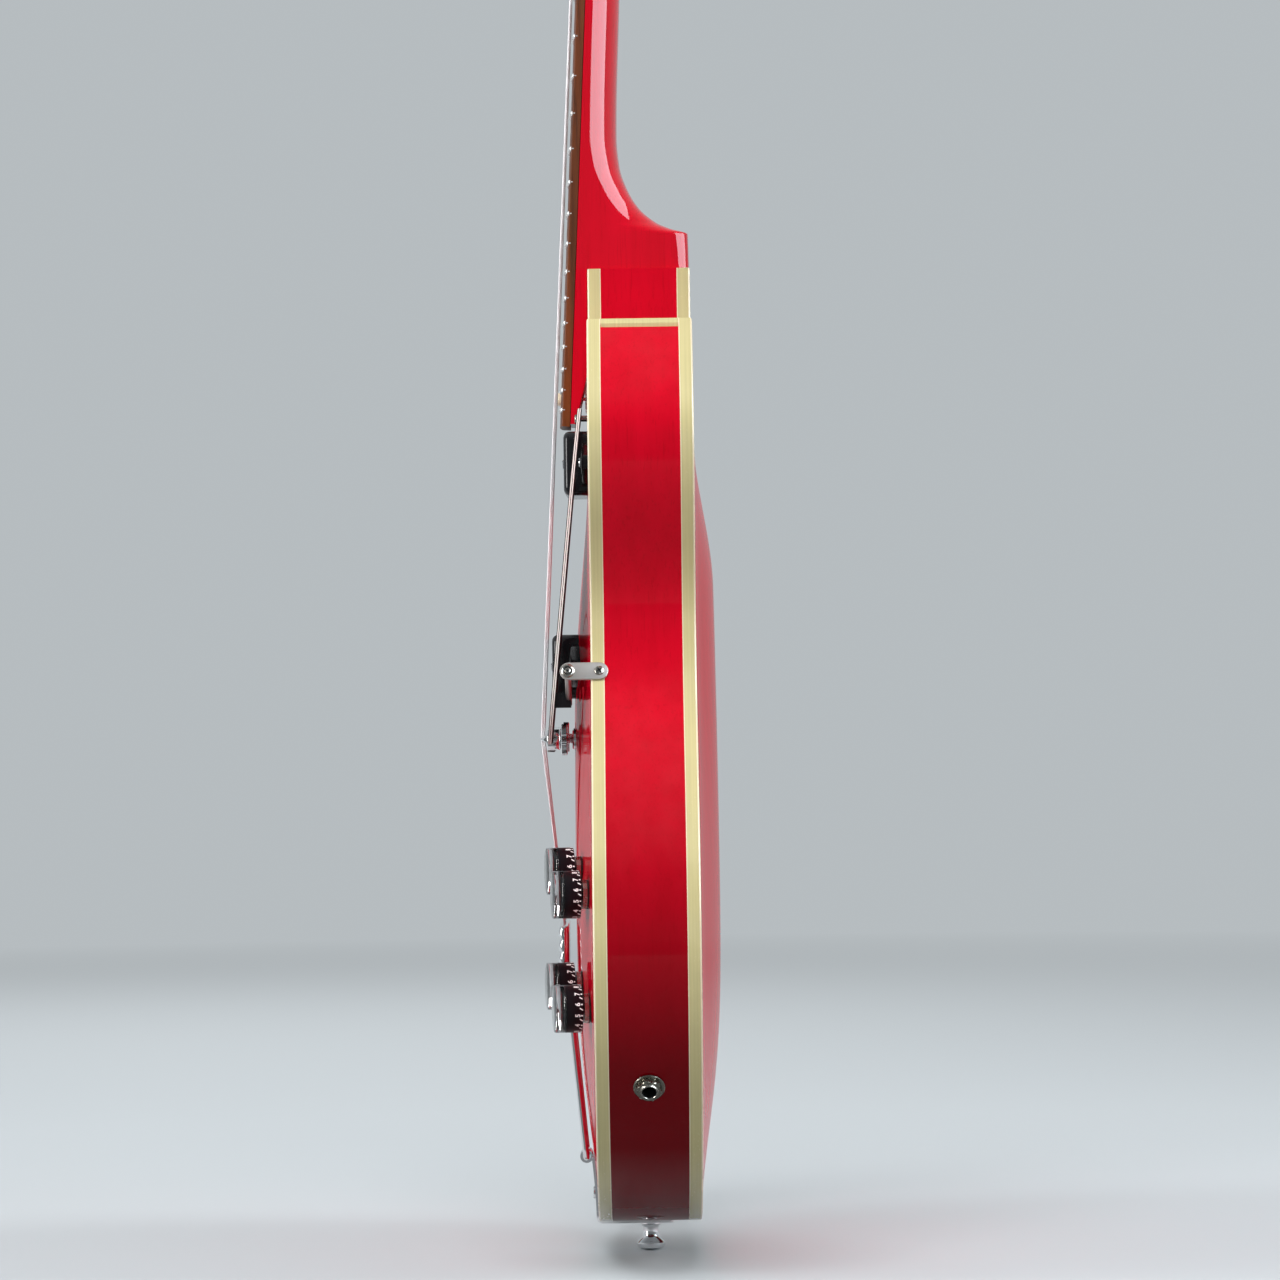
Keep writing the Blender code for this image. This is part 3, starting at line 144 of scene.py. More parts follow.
class Shape:
    """A mesh in the making, in millimetres, with a finish number on each face."""

    def __init__(self) -> None:
        """Start with nothing."""
        self.points: list[Vector] = []
        self.faces: list[tuple[int, ...]] = []
        self.kinds: list[int] = []

    def ring(self, points: Sequence[Point]) -> Ring:
        """Add points.

        Args:
            points: Where they are.

        Returns:
            Their numbers.
        """
        first = len(self.points)
        self.points.extend(Vector(p) for p in points)
        return list(range(first, len(self.points)))

    def face(self, corners: Sequence[int], kind: int = 0) -> None:
        """Add one face between points that exist."""
        self.faces.append(tuple(corners))
        self.kinds.append(kind)

    def band(self, first: Ring, second: Ring, kind: int) -> None:
        """Join two closed rings of points with quads.

        Args:
            first: One ring.
            second: The other, as long.
            kind: The finish of the faces.
        """
        count = len(first)
        for i in range(count):
            j = (i + 1) % count
            self.face((first[i], first[j], second[j], second[i]), kind)

    def loft(self, rings: Sequence[Sequence[Point]], kind: int = 0, capped: bool = True,
             kinds: Optional[Sequence[int]] = None) -> "Shape":
        """Join rings in order.

        Args:
            rings: Rings of points, all as long.
            kind: The finish of the faces.
            capped: Whether both ends get a face.
            kinds: A finish for each band, in place of kind.

        Returns:
            This shape.
        """
        loops = [self.ring(r) for r in rings]
        for i, (a, b) in enumerate(zip(loops, loops[1:])):
            self.band(a, b, kinds[i] if kinds else kind)
        if capped:
            self.face(loops[0], kinds[0] if kinds else kind)
            self.face(list(reversed(loops[-1])), kinds[-1] if kinds else kind)
        return self

    def hoop(self, sections: Sequence[Sequence[Point]], kinds: Sequence[int]) -> "Shape":
        """Join closed sections all the way round.

        Args:
            sections: Rings of points, all as long, the last of which joins the first.
            kinds: The finish of each side of the section.

        Returns:
            This shape.
        """
        loops = [self.ring(section) for section in sections]
        count = len(kinds)
        for a, b in zip(loops, loops[1:] + loops[:1]):
            for k, kind in enumerate(kinds):
                m = (k + 1) % count
                self.face((a[k], a[m], b[m], b[k]), kind)
        return self

    def turned(self, profile: Sequence[Point], sides: int = 40, at: Point = (0, 0, 0),
               turn: Optional[Matrix] = None, kinds: Optional[Sequence[int]] = None,
               wave: Optional[Callable[[float, float], float]] = None) -> "Shape":
        """Revolve a profile about its local Z.

        Args:
            profile: Points of radius and height; a radius of 0 closes the form.
            sides: Points round each ring.
            at: Where the profile's origin goes.
            turn: How its axes turn.
            kinds: A finish for each band between two profile points.
            wave: A factor on the radius by angle and height, for knurls and flats.

        Returns:
            This shape.
        """
        turn = turn or Matrix.Identity(3)
        at = Vector(at)
        loops = []
        for radius, height in profile:
            if radius == 0:
                loops.append(self.ring([at + turn @ Vector((0, 0, height))]))
                continue
            points = []
            for k in range(sides):
                angle = 2 * math.pi * k / sides
                r = radius * (wave(angle, height) if wave else 1.0)
                points.append(at + turn @ Vector((r * math.cos(angle), r * math.sin(angle), height)))
            loops.append(self.ring(points))
        for i, (a, b) in enumerate(zip(loops, loops[1:])):
            kind = kinds[i] if kinds else 0
            for k in range(sides):
                m = (k + 1) % sides
                if len(a) == 1 and len(b) > 1:
                    self.face((a[0], b[m], b[k]), kind)
                elif len(b) == 1 and len(a) > 1:
                    self.face((a[k], a[m], b[0]), kind)
                elif len(a) > 1:
                    self.face((a[k], a[m], b[m], b[k]), kind)
        return self

    def tube(self, path: Sequence[Point], radius: float, sides: int) -> "Shape":
        """Run a round wire along a smooth path.

        Args:
            path: Points on the wire's middle line.
            radius: The wire's radius.
            sides: Points round the wire.

        Returns:
            This shape.
        """
        path = [Vector(p) for p in path]
        rings = []
        side = None
        for i, here in enumerate(path):
            along = (path[min(i + 1, len(path) - 1)] - path[max(i - 1, 0)]).normalized()
            if side is None:
                side = along.cross(Vector((0.02, 1, 0.05))).normalized()
            side = (side - along * side.dot(along)).normalized()
            lift = along.cross(side)
            rings.append([here + (side * math.cos(a) + lift * math.sin(a)) * radius
                          for a in (2 * math.pi * k / sides for k in range(sides))])
        return self.loft(rings)

    def block(self, low: Point, high: Point, kind: int = 0) -> "Shape":
        """Add a block between two corners."""
        corners = [(low[0], low[1]), (high[0], low[1]), (high[0], high[1]), (low[0], high[1])]
        return self.loft([[(x, y, z) for x, y in corners] for z in (low[2], high[2])], kind)

    def prism(self, outline: Sequence[Point], low: float, high: float, at: Point, turn: Matrix,
              edge: float) -> "Shape":
        """Raise a flat outline along its local Z, with rounded rims.

        Args:
            outline: Points of x and y, in order round the form.
            low: The lower height.
            high: The upper height.
            at: Where the local origin goes.
            turn: How the local axes turn.
            edge: The radius of both rims.

        Returns:
            This shape.
        """
        levels = [(edge * (1 - math.sin(a)), low + edge * (1 - math.cos(a)))
                  for a in (0, math.pi / 6, math.pi / 3, math.pi / 2)]
        levels += [(i, high - (z - low)) for i, z in reversed(levels)]
        return self.loft([[Vector(at) + turn @ Vector((x, y, z)) for x, y in inset(outline, amount)]
                          for amount, z in levels])

    def mesh(self, name: str) -> bpy.types.Mesh:
        """Turn the shape into mesh data in metres.

        Args:
            name: The name of the mesh.

        Returns:
            The mesh, its normals outward and a face that comes twice made once.
        """
        bm = bmesh.new()
        verts = [bm.verts.new(p * MM) for p in self.points]
        for corners, kind in zip(self.faces, self.kinds):
            try:
                bm.faces.new([verts[c] for c in corners]).material_index = kind
            except ValueError:
                continue
        bmesh.ops.recalc_face_normals(bm, faces=bm.faces)
        mesh = bpy.data.meshes.new(name)
        bm.to_mesh(mesh)
        bm.free()
        return mesh

    def make(self, name: str, finishes: Sequence["Finish"], body: str, *nodes: str,
             sharp: float = 35.0) -> bpy.types.Object:
        """Turn the shape into a piece of the guitar.

        Args:
            name: The piece's name.
            finishes: The finish of each face number.
            body: The CAD body that it moves with.
            nodes: The CAD nodes that it stands for.
            sharp: Edges over this angle in degrees stay crisp.

        Returns:
            The new object.
        """
        mesh = self.mesh(name)
        mesh.shade_smooth()
        if sharp < 180:
            mesh.set_sharp_from_angle(angle=math.radians(sharp))
        piece = bpy.data.objects.new(name, mesh)
        bpy.context.scene.collection.objects.link(piece)
        for finish in finishes:
            mesh.materials.append(finish.material())
        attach(piece, body)
        if nodes:
            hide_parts(*nodes)
        LOG.info("%s: %d faces on %s", name, len(mesh.polygons), body)
        return piece


def inset(outline: Sequence[Point], amount: float) -> list[Vector]:
    """Draw an outline in by a mitred amount.

    Args:
        outline: Points of x and y, in order.
        amount: How far each side moves in.

    Returns:
        The moved points.
    """
    points = [Vector(p[:2]) for p in outline]
    if not amount:
        return points
    area = sum(a.x * b.y - b.x * a.y for a, b in zip(points, points[1:] + points[:1]))
    sign = 1.0 if area > 0 else -1.0
    moved = []
    for i, here in enumerate(points):
        before = (here - points[i - 1]).normalized()
        after = (points[(i + 1) % len(points)] - here).normalized()
        normal = Vector((-before.y - after.y, before.x + after.x)) * sign
        normal.normalize()
        room = max(normal.dot(Vector((-after.y, after.x)) * sign), 0.35)
        moved.append(here + normal * (amount / room))
    return moved


def carve(piece: bpy.types.Object, cutter: Shape) -> None:
    """Cut a shape out of a piece for good.

    Args:
        piece: The object to change.
        cutter: The shape, in millimetres.
    """
    other = bpy.data.objects.new("cutter", cutter.mesh("cutter"))
    bpy.context.scene.collection.objects.link(other)
    step = piece.modifiers.new("cut", "BOOLEAN")
    step.operation = "DIFFERENCE"
    step.solver = "EXACT"
    step.object = other
    seen = piece.evaluated_get(bpy.context.evaluated_depsgraph_get())
    result = bpy.data.meshes.new_from_object(seen)
    piece.modifiers.remove(step)
    piece.data = result
    bpy.data.objects.remove(other, do_unlink=True)


def round_rect(half_x: float, half_y: float, corner: float, steps: int = 8) -> list[tuple]:
    """Draw a rectangle with round corners about the origin.

    Args:
        half_x: Half its width.
        half_y: Half its height.
        corner: The radius of its corners.
        steps: Sides of each corner.

    Returns:
        Its points.
    """
    points = []
    for quarter, (sx, sy) in enumerate(((1, 1), (-1, 1), (-1, -1), (1, -1))):
        for k in range(steps + 1):
            angle = math.pi / 2 * (quarter + k / steps)
            points.append((sx * (half_x - corner) + corner * math.cos(angle),
                           sy * (half_y - corner) + corner * math.sin(angle)))
    return points


def slot_ended(half_long: float, radius: float, steps: int) -> list[tuple]:
    """Draw a bar with two round ends, long in x.

    Args:
        half_long: Half the way between the middles of its ends.
        radius: The radius of its ends.
        steps: Sides of each end.

    Returns:
        Its points.
    """
    points = []
    for sign, start in ((1, -math.pi / 2), (-1, math.pi / 2)):
        for k in range(steps + 1):
            angle = start + math.pi * k / steps
            points.append((sign * half_long + radius * math.cos(angle), radius * math.sin(angle)))
    return points


# ---------------------------------------------------------------- finishes

class Slot(Enum):
    """The record's material slots."""

    CHERRY = "cherry"
    BINDING = "binding"
    ROSEWOOD = "rosewood"
    MAPLE = "maple"
    CHROME = "chrome"
    NICKEL = "nickel"
    STEEL = "steel"
    BLACK = "black"
    BONE = "bone"


class Bench:
    """Adds and joins shader nodes in one tree."""

    def __init__(self, tree: bpy.types.NodeTree) -> None:
        """Take the tree to work in."""
        self.tree = tree

    def add(self, kind: str, **settings: object) -> bpy.types.Node:
        """Add a node and set its properties.

        Args:
            kind: The node's type name without its prefix.
            settings: Properties of the node, or inputs by index as i0, i1 and so on.

        Returns:
            The node.
        """
        prefix = "" if kind.startswith("NodeGroup") else "ShaderNode"
        node = self.tree.nodes.new(prefix + kind)
        for key, value in settings.items():
            if key[1:].isdigit():
                node.inputs[int(key[1:])].default_value = value
            else:
                setattr(node, key, value)
        return node

    def link(self, source: object, target: object) -> None:
        """Join an output to an input."""
        self.tree.links.new(source, target)

    def math(self, operation: str, first: object, second: object = 0.5,
             clamp: bool = False) -> object:
        """Add a Math node.

        Args:
            operation: What it does.
            first: A socket or a number.
            second: Another, where the operation takes two.
            clamp: Whether the result stays between 0 and 1.

        Returns:
            Its output.
        """
        node = self.add("Math", operation=operation, use_clamp=clamp)
        for socket, value in zip(node.inputs, (first, second)):
            if isinstance(value, (int, float)):
                socket.default_value = value
            else:
                self.link(value, socket)
        return node.outputs[0]

    def stretch(self, vector: object, scale: Point, turn: Point = (0.0, 0.0, 0.0)) -> object:
        """Turn coordinates and stretch them along each axis.

        Args:
            vector: The coordinates' socket.
            scale: The factor along each axis.
            turn: The angle about each axis.

        Returns:
            The new coordinates' socket.
        """
        node = self.add("Mapping", vector_type="POINT")
        node.inputs["Rotation"].default_value = turn
        node.inputs["Scale"].default_value = scale
        self.link(vector, node.inputs["Vector"])
        return node.outputs["Vector"]

    def place(self, scale: Point) -> object:
        """Return the piece's own coordinates in metres, stretched along each axis."""
        return self.stretch(self.add("TexCoord").outputs["Object"], scale)

    def noise(self, vector: object, scale: float, detail: float = 2.0,
              roughness: float = 0.5) -> object:
        """Add a noise texture.

        Args:
            vector: The coordinates' socket.
            scale: How fine it is.
            detail: How many octaves it has.
            roughness: How strong each finer octave is.

        Returns:
            Its value's socket.
        """
        node = self.add("TexNoise")
        node.inputs["Scale"].default_value = scale
        node.inputs["Detail"].default_value = detail
        node.inputs["Roughness"].default_value = roughness
        self.link(vector, node.inputs["Vector"])
        return node.outputs["Fac"]

    def ramp(self, value: object, low: float, high: float, start: float = 0.0,
             end: float = 1.0) -> object:
        """Map a range of a value to another, clamped.

        Args:
            value: The value's socket.
            low: The value that gives start.
            high: The value that gives end.
            start: The result at low.
            end: The result at high.

        Returns:
            The result's socket.
        """
        node = self.add("MapRange", i1=low, i2=high, i3=start, i4=end)
        self.link(value, node.inputs[0])
        return node.outputs[0]

    def mix(self, share: object, first: object, second: object) -> object:
        """Mix two colours, given as sockets or as numbers.

        Args:
            share: How much of the second colour there is.
            first: The first colour.
            second: The second colour.

        Returns:
            The mixed colour's socket.
        """
        node = self.add("Mix", data_type="RGBA")
        for socket, value in ((node.inputs[0], share), (node.inputs[6], first),
                              (node.inputs[7], second)):
            if isinstance(value, (int, float)):
                socket.default_value = value
            elif isinstance(value, tuple):
                socket.default_value = (*value, 1.0)
            else:
                self.link(value, socket)
        return node.outputs[2]


class Effects:
    """The effects that several finishes share, each a node group built once."""

    made: dict[str, bpy.types.NodeTree] = {}

    @classmethod
    def start(cls, name: str, inputs: dict[str, tuple], outputs: dict[str, str]) -> tuple:
        """Begin a group with its sockets.

        Args:
            name: The group's name.
            inputs: Socket type and default by name.
            outputs: Socket type by name.

        Returns:
            The tree, its bench, its input node and its output node.
        """
        tree = bpy.data.node_groups.new(name, "ShaderNodeTree")
        for key, (kind, value) in inputs.items():
            socket = tree.interface.new_socket(key, in_out="INPUT", socket_type=kind)
            socket.default_value = value
        for key, kind in outputs.items():
            tree.interface.new_socket(key, in_out="OUTPUT", socket_type=kind)
        bench = Bench(tree)
        cls.made[name] = tree
        return tree, bench, bench.add("NodeGroupInput"), bench.add("NodeGroupOutput")

    @classmethod
    def handling(cls) -> bpy.types.NodeTree:
        """Build the smudges and hairlines that handling leaves on a polished face.

        Returns:
            The group.
        """
        if "handling_marks" in cls.made:
            return cls.made["handling_marks"]
        tree, bench, given, result = cls.start(
            "handling_marks",
            {"Vector": ("NodeSocketVector", (0, 0, 0)), "Roughness": ("NodeSocketFloat", 0.1),
             "Smudges": ("NodeSocketFloat", 0.05), "Hairlines": ("NodeSocketFloat", 0.1)},
            {"Roughness": "NodeSocketFloat", "Height": "NodeSocketFloat"})
        smudge = bench.ramp(bench.noise(given.outputs["Vector"], 22.0, 4.0, 0.6), 0.42, 0.72)
        slanting = bench.stretch(given.outputs["Vector"], (40, 900, 900), (0.5, 0.9, 0.4))
        line = bench.ramp(bench.noise(slanting, 1.0, 1.0), 0.66, 0.74)
        amount = bench.math("MULTIPLY", smudge, given.outputs["Smudges"])
        rough = bench.math("ADD", given.outputs["Roughness"], amount)
        lined = bench.math("MULTIPLY", line, given.outputs["Hairlines"])
        bench.link(bench.math("ADD", rough, lined), result.inputs["Roughness"])
        bench.link(bench.math("MULTIPLY", lined, -1.0), result.inputs["Height"])
        return tree

    @classmethod
    def grain(cls) -> bpy.types.NodeTree:
        """Build wood grain that runs along Z, with rings, streaks and pores.

        Returns:
            The group.
        """
        if "wood_grain" in cls.made:
            return cls.made["wood_grain"]
        tree, bench, given, result = cls.start(
            "wood_grain",
            {"Vector": ("NodeSocketVector", (0, 0, 0)), "Light": ("NodeSocketColor", (1, 1, 1, 1)),
             "Dark": ("NodeSocketColor", (0, 0, 0, 1)), "Streaks": ("NodeSocketFloat", 0.5)},
            {"Color": "NodeSocketColor", "Height": "NodeSocketFloat"})
        wide = bench.stretch(given.outputs["Vector"], (90, 90, 4.5))
        fine = bench.stretch(given.outputs["Vector"], (900, 900, 28))
        pores = bench.ramp(bench.noise(fine, 1.0, 2.0, 0.7), 0.56, 0.68)
        streak = bench.ramp(bench.noise(wide, 1.0, 3.0, 0.6), 0.35, 0.68)
        share = bench.math("MULTIPLY", streak, given.outputs["Streaks"])
        share = bench.math("ADD", share, bench.math("MULTIPLY", pores, 0.35), clamp=True)
        bench.link(bench.mix(share, given.outputs["Light"], given.outputs["Dark"]),
                   result.inputs["Color"])
        bench.link(bench.math("MULTIPLY", pores, -1.0), result.inputs["Height"])
        return tree

    @classmethod
    def dust(cls) -> bpy.types.NodeTree:
        """Build the specks of dust that settle on faces that look up.

        Returns:
            The group.
        """
        if "settled_dust" in cls.made:
            return cls.made["settled_dust"]
        tree, bench, given, result = cls.start(
            "settled_dust",
            {"Vector": ("NodeSocketVector", (0, 0, 0)), "Color": ("NodeSocketColor", (0, 0, 0, 1)),
             "Amount": ("NodeSocketFloat", 0.1)},
            {"Color": "NodeSocketColor"})
        up = bench.add("NewGeometry")
        split = bench.add("SeparateXYZ")
        bench.link(up.outputs["Normal"], split.inputs[0])
        level = bench.ramp(split.outputs["Z"], 0.2, 1.0)
        specks = bench.ramp(bench.noise(given.outputs["Vector"], 700.0, 2.0, 0.7), 0.6, 0.75)
        film = bench.ramp(bench.noise(given.outputs["Vector"], 60.0, 3.0, 0.6), 0.4, 0.8, 0.2, 1.0)
        mask = bench.math("MULTIPLY", level, bench.math("MULTIPLY", film, given.outputs["Amount"]))
        mask = bench.math("ADD", mask, bench.math("MULTIPLY", specks, bench.math(
            "MULTIPLY", given.outputs["Amount"], 0.15)), clamp=True)
        bench.link(bench.mix(mask, given.outputs["Color"], (0.5, 0.48, 0.45)),
                   result.inputs["Color"])
        return tree


@dataclass(frozen=True)
class Finish:
    """A polished or plain material, the base of the others.

    Attributes:
        name: The material's name.
        slot: The record's slot that it belongs to; not used.
        color: Base colour, linear.
        roughness: How matt it is.
        metallic: 1 for metal.
        smudges: How much handling adds to the roughness.
        hairlines: How strong the fine scratches are.
        dust: How much dust lies on it.
        relief: Height of the bump in millimetres.
        variety: How far the colour wanders.
        coat: Weight of a clear coat.
        gloss: Strength of the reflection under the coat.
    """

    name: str
    slot: str
    color: tuple[float, float, float]
    roughness: float = 0.3
    metallic: float = 0.0
    smudges: float = 0.05
    hairlines: float = 0.05
    dust: float = 0.0
    relief: float = 0.01
    variety: float = 0.1
    coat: float = 0.0
    gloss: float = 0.5

    def material(self) -> bpy.types.Material:
        """Build the material on its first use.

        Returns:
            The material.
        """
        known = bpy.data.materials.get(self.name)
        if known is not None:
            return known
        material = bpy.data.materials.new(self.name)
        material.use_nodes = True
        material.diffuse_color = (*self.color, 1.0)
        bench = Bench(material.node_tree)
        shader = material.node_tree.nodes["Principled BSDF"]
        shader.inputs["Metallic"].default_value = self.metallic
        shader.inputs["Coat Weight"].default_value = self.coat
        shader.inputs["Specular IOR Level"].default_value = self.gloss
        shader.inputs["Coat Roughness"].default_value = 0.03
        vector = bench.place((1, 1, 1))
        color, height = self.pattern(bench, vector)
        if self.dust:
            group = bench.add("Group", node_tree=Effects.dust())
            group.inputs["Amount"].default_value = self.dust
            bench.link(vector, group.inputs["Vector"])
            bench.link(color, group.inputs["Color"])
            color = group.outputs["Color"]
        bench.link(color, shader.inputs["Base Color"])
        marks = bench.add("Group", node_tree=Effects.handling())
        marks.inputs["Roughness"].default_value = self.roughness
        marks.inputs["Smudges"].default_value = self.smudges
        marks.inputs["Hairlines"].default_value = self.hairlines
        bench.link(vector, marks.inputs["Vector"])
        bench.link(marks.outputs["Roughness"], shader.inputs["Roughness"])
        bump = bench.add("Bump")
        bump.inputs["Strength"].default_value = 0.6
        bump.inputs["Distance"].default_value = self.relief * MM
        total = marks.outputs["Height"]
        if height is not None:
            total = bench.math("ADD", bench.math("MULTIPLY", total, 0.3), height)
        bench.link(total, bump.inputs["Height"])
        bench.link(bump.outputs["Normal"], shader.inputs["Normal"])
        self.extras(shader)
        return material

    def pattern(self, bench: Bench, vector: object) -> tuple:
        """Colour the surface.

        Args:
            bench: The material's bench.
            vector: The piece's own coordinates.

        Returns:
            The colour's socket, and a height's socket or None.
        """
        cloud = bench.ramp(bench.noise(vector, 35.0, 3.0, 0.55), 0.3, 0.7)
        darker = tuple(c * (1 - self.variety) for c in self.color)
        return bench.mix(cloud, self.color, darker), None

    def extras(self, shader: bpy.types.Node) -> None:
        """Set what only some finishes have."""


def grained(bench: Bench, vector: object, light: Point, dark: Point, streaks: float) -> tuple:
    """Lay wood grain on a material.

    Args:
        bench: The material's bench.
        vector: The piece's own coordinates.
        light: The wood's colour.
        dark: The colour of its streaks and pores.
        streaks: How strong the streaks are.

    Returns:
        The colour's socket and the height's.
    """
    group = bench.add("Group", node_tree=Effects.grain())
    group.inputs["Light"].default_value = (*light, 1.0)
    group.inputs["Dark"].default_value = (*dark, 1.0)
    group.inputs["Streaks"].default_value = streaks
    bench.link(vector, group.inputs["Vector"])
    return group.outputs["Color"], group.outputs["Height"]


@dataclass(frozen=True)
class Lacquered(Finish):
    """Stained wood under a deep clear lacquer.

    Attributes:
        deep: The colour of the grain's streaks.
        streaks: How strong they are.
        burst: How much painted shade darkens the colour low down.
    """

    deep: tuple[float, float, float] = (0.3, 0.0, 0.0)
    streaks: float = 0.3
    burst: float = 0.0

    def pattern(self, bench: Bench, vector: object) -> tuple:
        """Lay faint grain under the lacquer, paint shade low down, and leave orange peel.

        Args:
            bench: The material's bench.
            vector: The piece's own coordinates.

        Returns:
            The colour's socket and the height's.
        """
        color, _ = grained(bench, vector, self.color, self.deep, self.streaks)
        if self.burst:
            # Painted shade: the colour darkens from 270 mm down to 90 mm.
            split = bench.add("SeparateXYZ")
            bench.link(vector, split.inputs[0])
            low = bench.ramp(split.outputs["Z"], 0.27, 0.09, 0.0, self.burst)
            darker = tuple(c * 0.25 for c in self.deep)
            color = bench.mix(low, color, darker)
        peel = bench.noise(vector, 260.0, 1.0, 0.4)
        return color, bench.math("MULTIPLY", peel, 0.25)


@dataclass(frozen=True)
class OpenWood(Finish):
    """Oiled or raw wood with open pores.

    Attributes:
        deep: The colour of the streaks and pores.
        streaks: How strong the streaks are.
    """

    deep: tuple[float, float, float] = (0.05, 0.02, 0.01)
    streaks: float = 0.8

    def pattern(self, bench: Bench, vector: object) -> tuple:
        """Lay strong grain along Z and return its colour and height."""
        return grained(bench, vector, self.color, self.deep, self.streaks)


@dataclass(frozen=True)
class Plated(Finish):
    """Plated or drawn metal, with faint brushing one way and tarnish in patches.

    Attributes:
        brushed: How fine the brushing is along each axis.
        tarnish: The colour of the dull patches.
        aged: How strong they are.
    """

    brushed: tuple[float, float, float] = (1200, 1200, 60)
    tarnish: tuple[float, float, float] = (0.4, 0.36, 0.3)
    aged: float = 0.15

    def pattern(self, bench: Bench, vector: object) -> tuple:
        """Brush the metal and dull it in patches.

        Args:
            bench: The material's bench.
            vector: The piece's own coordinates.

        Returns:
            The colour's socket and the height's.
        """
        run = bench.place(self.brushed)
        lines = bench.noise(run, 1.0, 2.0, 0.6)
        patch = bench.ramp(bench.noise(vector, 130.0, 4.0, 0.65), 0.52, 0.78, 0.0, self.aged)
        return bench.mix(patch, self.color, self.tarnish), bench.math("MULTIPLY", lines, 0.5)


@dataclass(frozen=True)
class Wound(Finish):
    """A string with fine wire wound round it.

    Attributes:
        pitch: The thickness of that wire in millimetres.
    """

    pitch: float = 0.33

    def pattern(self, bench: Bench, vector: object) -> tuple:
        """Put a turn of wire at every pitch along Z, with painted shade in the grooves between turns.

        Args:
            bench: The material's bench.
            vector: The piece's own coordinates.

        Returns:
            The colour's socket and the height's.
        """
        wave = bench.add("TexWave", wave_type="BANDS", bands_direction="Z", wave_profile="SIN")
        wave.inputs["Scale"].default_value = 2 * math.pi / 20 / (self.pitch * MM)
        wave.inputs["Distortion"].default_value = 0.0
        bench.link(vector, wave.inputs["Vector"])
        # Painted shade: the grooves between turns are darker.
        groove = bench.ramp(wave.outputs["Fac"], 0.0, 0.45)
        darker = tuple(c * 0.35 for c in self.color)
        return bench.mix(groove, darker, self.color), wave.outputs["Fac"]


@dataclass(frozen=True)
class Clear(Finish):
    """Clear moulded acrylic."""

    def extras(self, shader: bpy.types.Node) -> None:
        """Let light through."""
        shader.inputs["Transmission Weight"].default_value = 1.0
        shader.inputs["IOR"].default_value = 1.49


@dataclass(frozen=True)
class Striped(Finish):
    """Cream binding in thin glued layers; the lighter edge finish adds scraped lines and a painted highlight.
    """

    def pattern(self, bench: Bench, vector: object) -> tuple:
        """Vary the cream along the strip and across its layers.

        Args:
            bench: The material's bench.
            vector: The piece's own coordinates.

        Returns:
            The colour's socket, and no height.
        """
        layers = bench.noise(bench.place((8, 900, 8)), 1.0, 2.0, 0.5)
        cloud = bench.noise(vector, 18.0, 3.0, 0.6)
        share = bench.math("ADD", bench.math("MULTIPLY", layers, 0.55),
                           bench.math("MULTIPLY", cloud, 0.45))
        darker = tuple(c * (1 - self.variety) for c in self.color)
        return bench.mix(bench.ramp(share, 0.35, 0.65), self.color, darker), None


CHERRY = Lacquered("cherry_lacquer", Slot.CHERRY.value, (0.62, 0.0008, 0.015), roughness=0.035,
                   smudges=0.03, hairlines=0.04, dust=0.03, relief=0.012, coat=0.5, gloss=0.0,
                   deep=(0.42, 0.0004, 0.006), streaks=0.35)
CREAM = Striped("cream_binding", Slot.BINDING.value, (0.66, 0.58, 0.29), roughness=0.22, hairlines=0.04,
                dust=0.02, variety=0.14, coat=0.4)
# Lighter cream: scraped lines at the binding's borders, and a painted highlight on its rounded rim.
LIGHT_CREAM_EDGE_AND_HIGHLIGHT = Striped("scraped_binding_edge_and_painted_highlight", Slot.BINDING.value, (0.90, 0.78, 0.55), roughness=0.25,
                     hairlines=0.04, coat=0.4)
ROSEWOOD = OpenWood("oiled_rosewood", Slot.ROSEWOOD.value, (0.19, 0.048, 0.012), roughness=0.45,
                    smudges=0.08, hairlines=0.1, dust=0.02, relief=0.05, gloss=0.2,
                    deep=(0.05, 0.014, 0.005))
MAPLE = OpenWood("raw_maple", Slot.MAPLE.value, (0.56, 0.41, 0.23), roughness=0.6, dust=0.05,
                 relief=0.03, deep=(0.40, 0.26, 0.13), streaks=0.5)
CHROME = Plated("bright_chrome", Slot.CHROME.value, (0.83, 0.83, 0.84), roughness=0.06, metallic=1.0,
                smudges=0.08, hairlines=0.1, dust=0.02, relief=0.003, aged=0.10)
NICKEL = Plated("aged_nickel", Slot.NICKEL.value, (0.52, 0.49, 0.44), roughness=0.22, metallic=1.0,
                smudges=0.12, hairlines=0.2, dust=0.02, relief=0.012, aged=0.5,
                brushed=(60, 1400, 1400))
SATIN = Plated("satin_nickel", Slot.NICKEL.value, (0.50, 0.46, 0.43), roughness=0.42, metallic=0.8,
               smudges=0.10, hairlines=0.15, dust=0.02, aged=0.2)
DULL = Plated("dull_nickel", Slot.NICKEL.value, (0.33, 0.31, 0.26), roughness=0.22, metallic=1.0,
              smudges=0.1, hairlines=0.15, dust=0.02, relief=0.008, aged=0.4)
FRET_WIRE = Plated("fret_wire", Slot.STEEL.value, (0.92, 0.91, 0.90), roughness=0.22, metallic=0.6,
                   smudges=0.1, hairlines=0.2, dust=0.02, relief=0.006, aged=0.2)
STEEL = Plated("plain_string", Slot.STEEL.value, (0.90, 0.87, 0.89), roughness=0.34, metallic=0.35,
               hairlines=0.1, relief=0.004, aged=0.05)
WOUND = Wound("wound_string", Slot.STEEL.value, (0.88, 0.85, 0.87), roughness=0.34, metallic=0.4,
              smudges=0.06, hairlines=0.1, relief=0.05)
BLACK = Finish("black_plastic", Slot.BLACK.value, (0.010, 0.010, 0.012), roughness=0.16, smudges=0.10,
               hairlines=0.12, dust=0.03, relief=0.008, variety=0.3, coat=0.15, gloss=0.35)
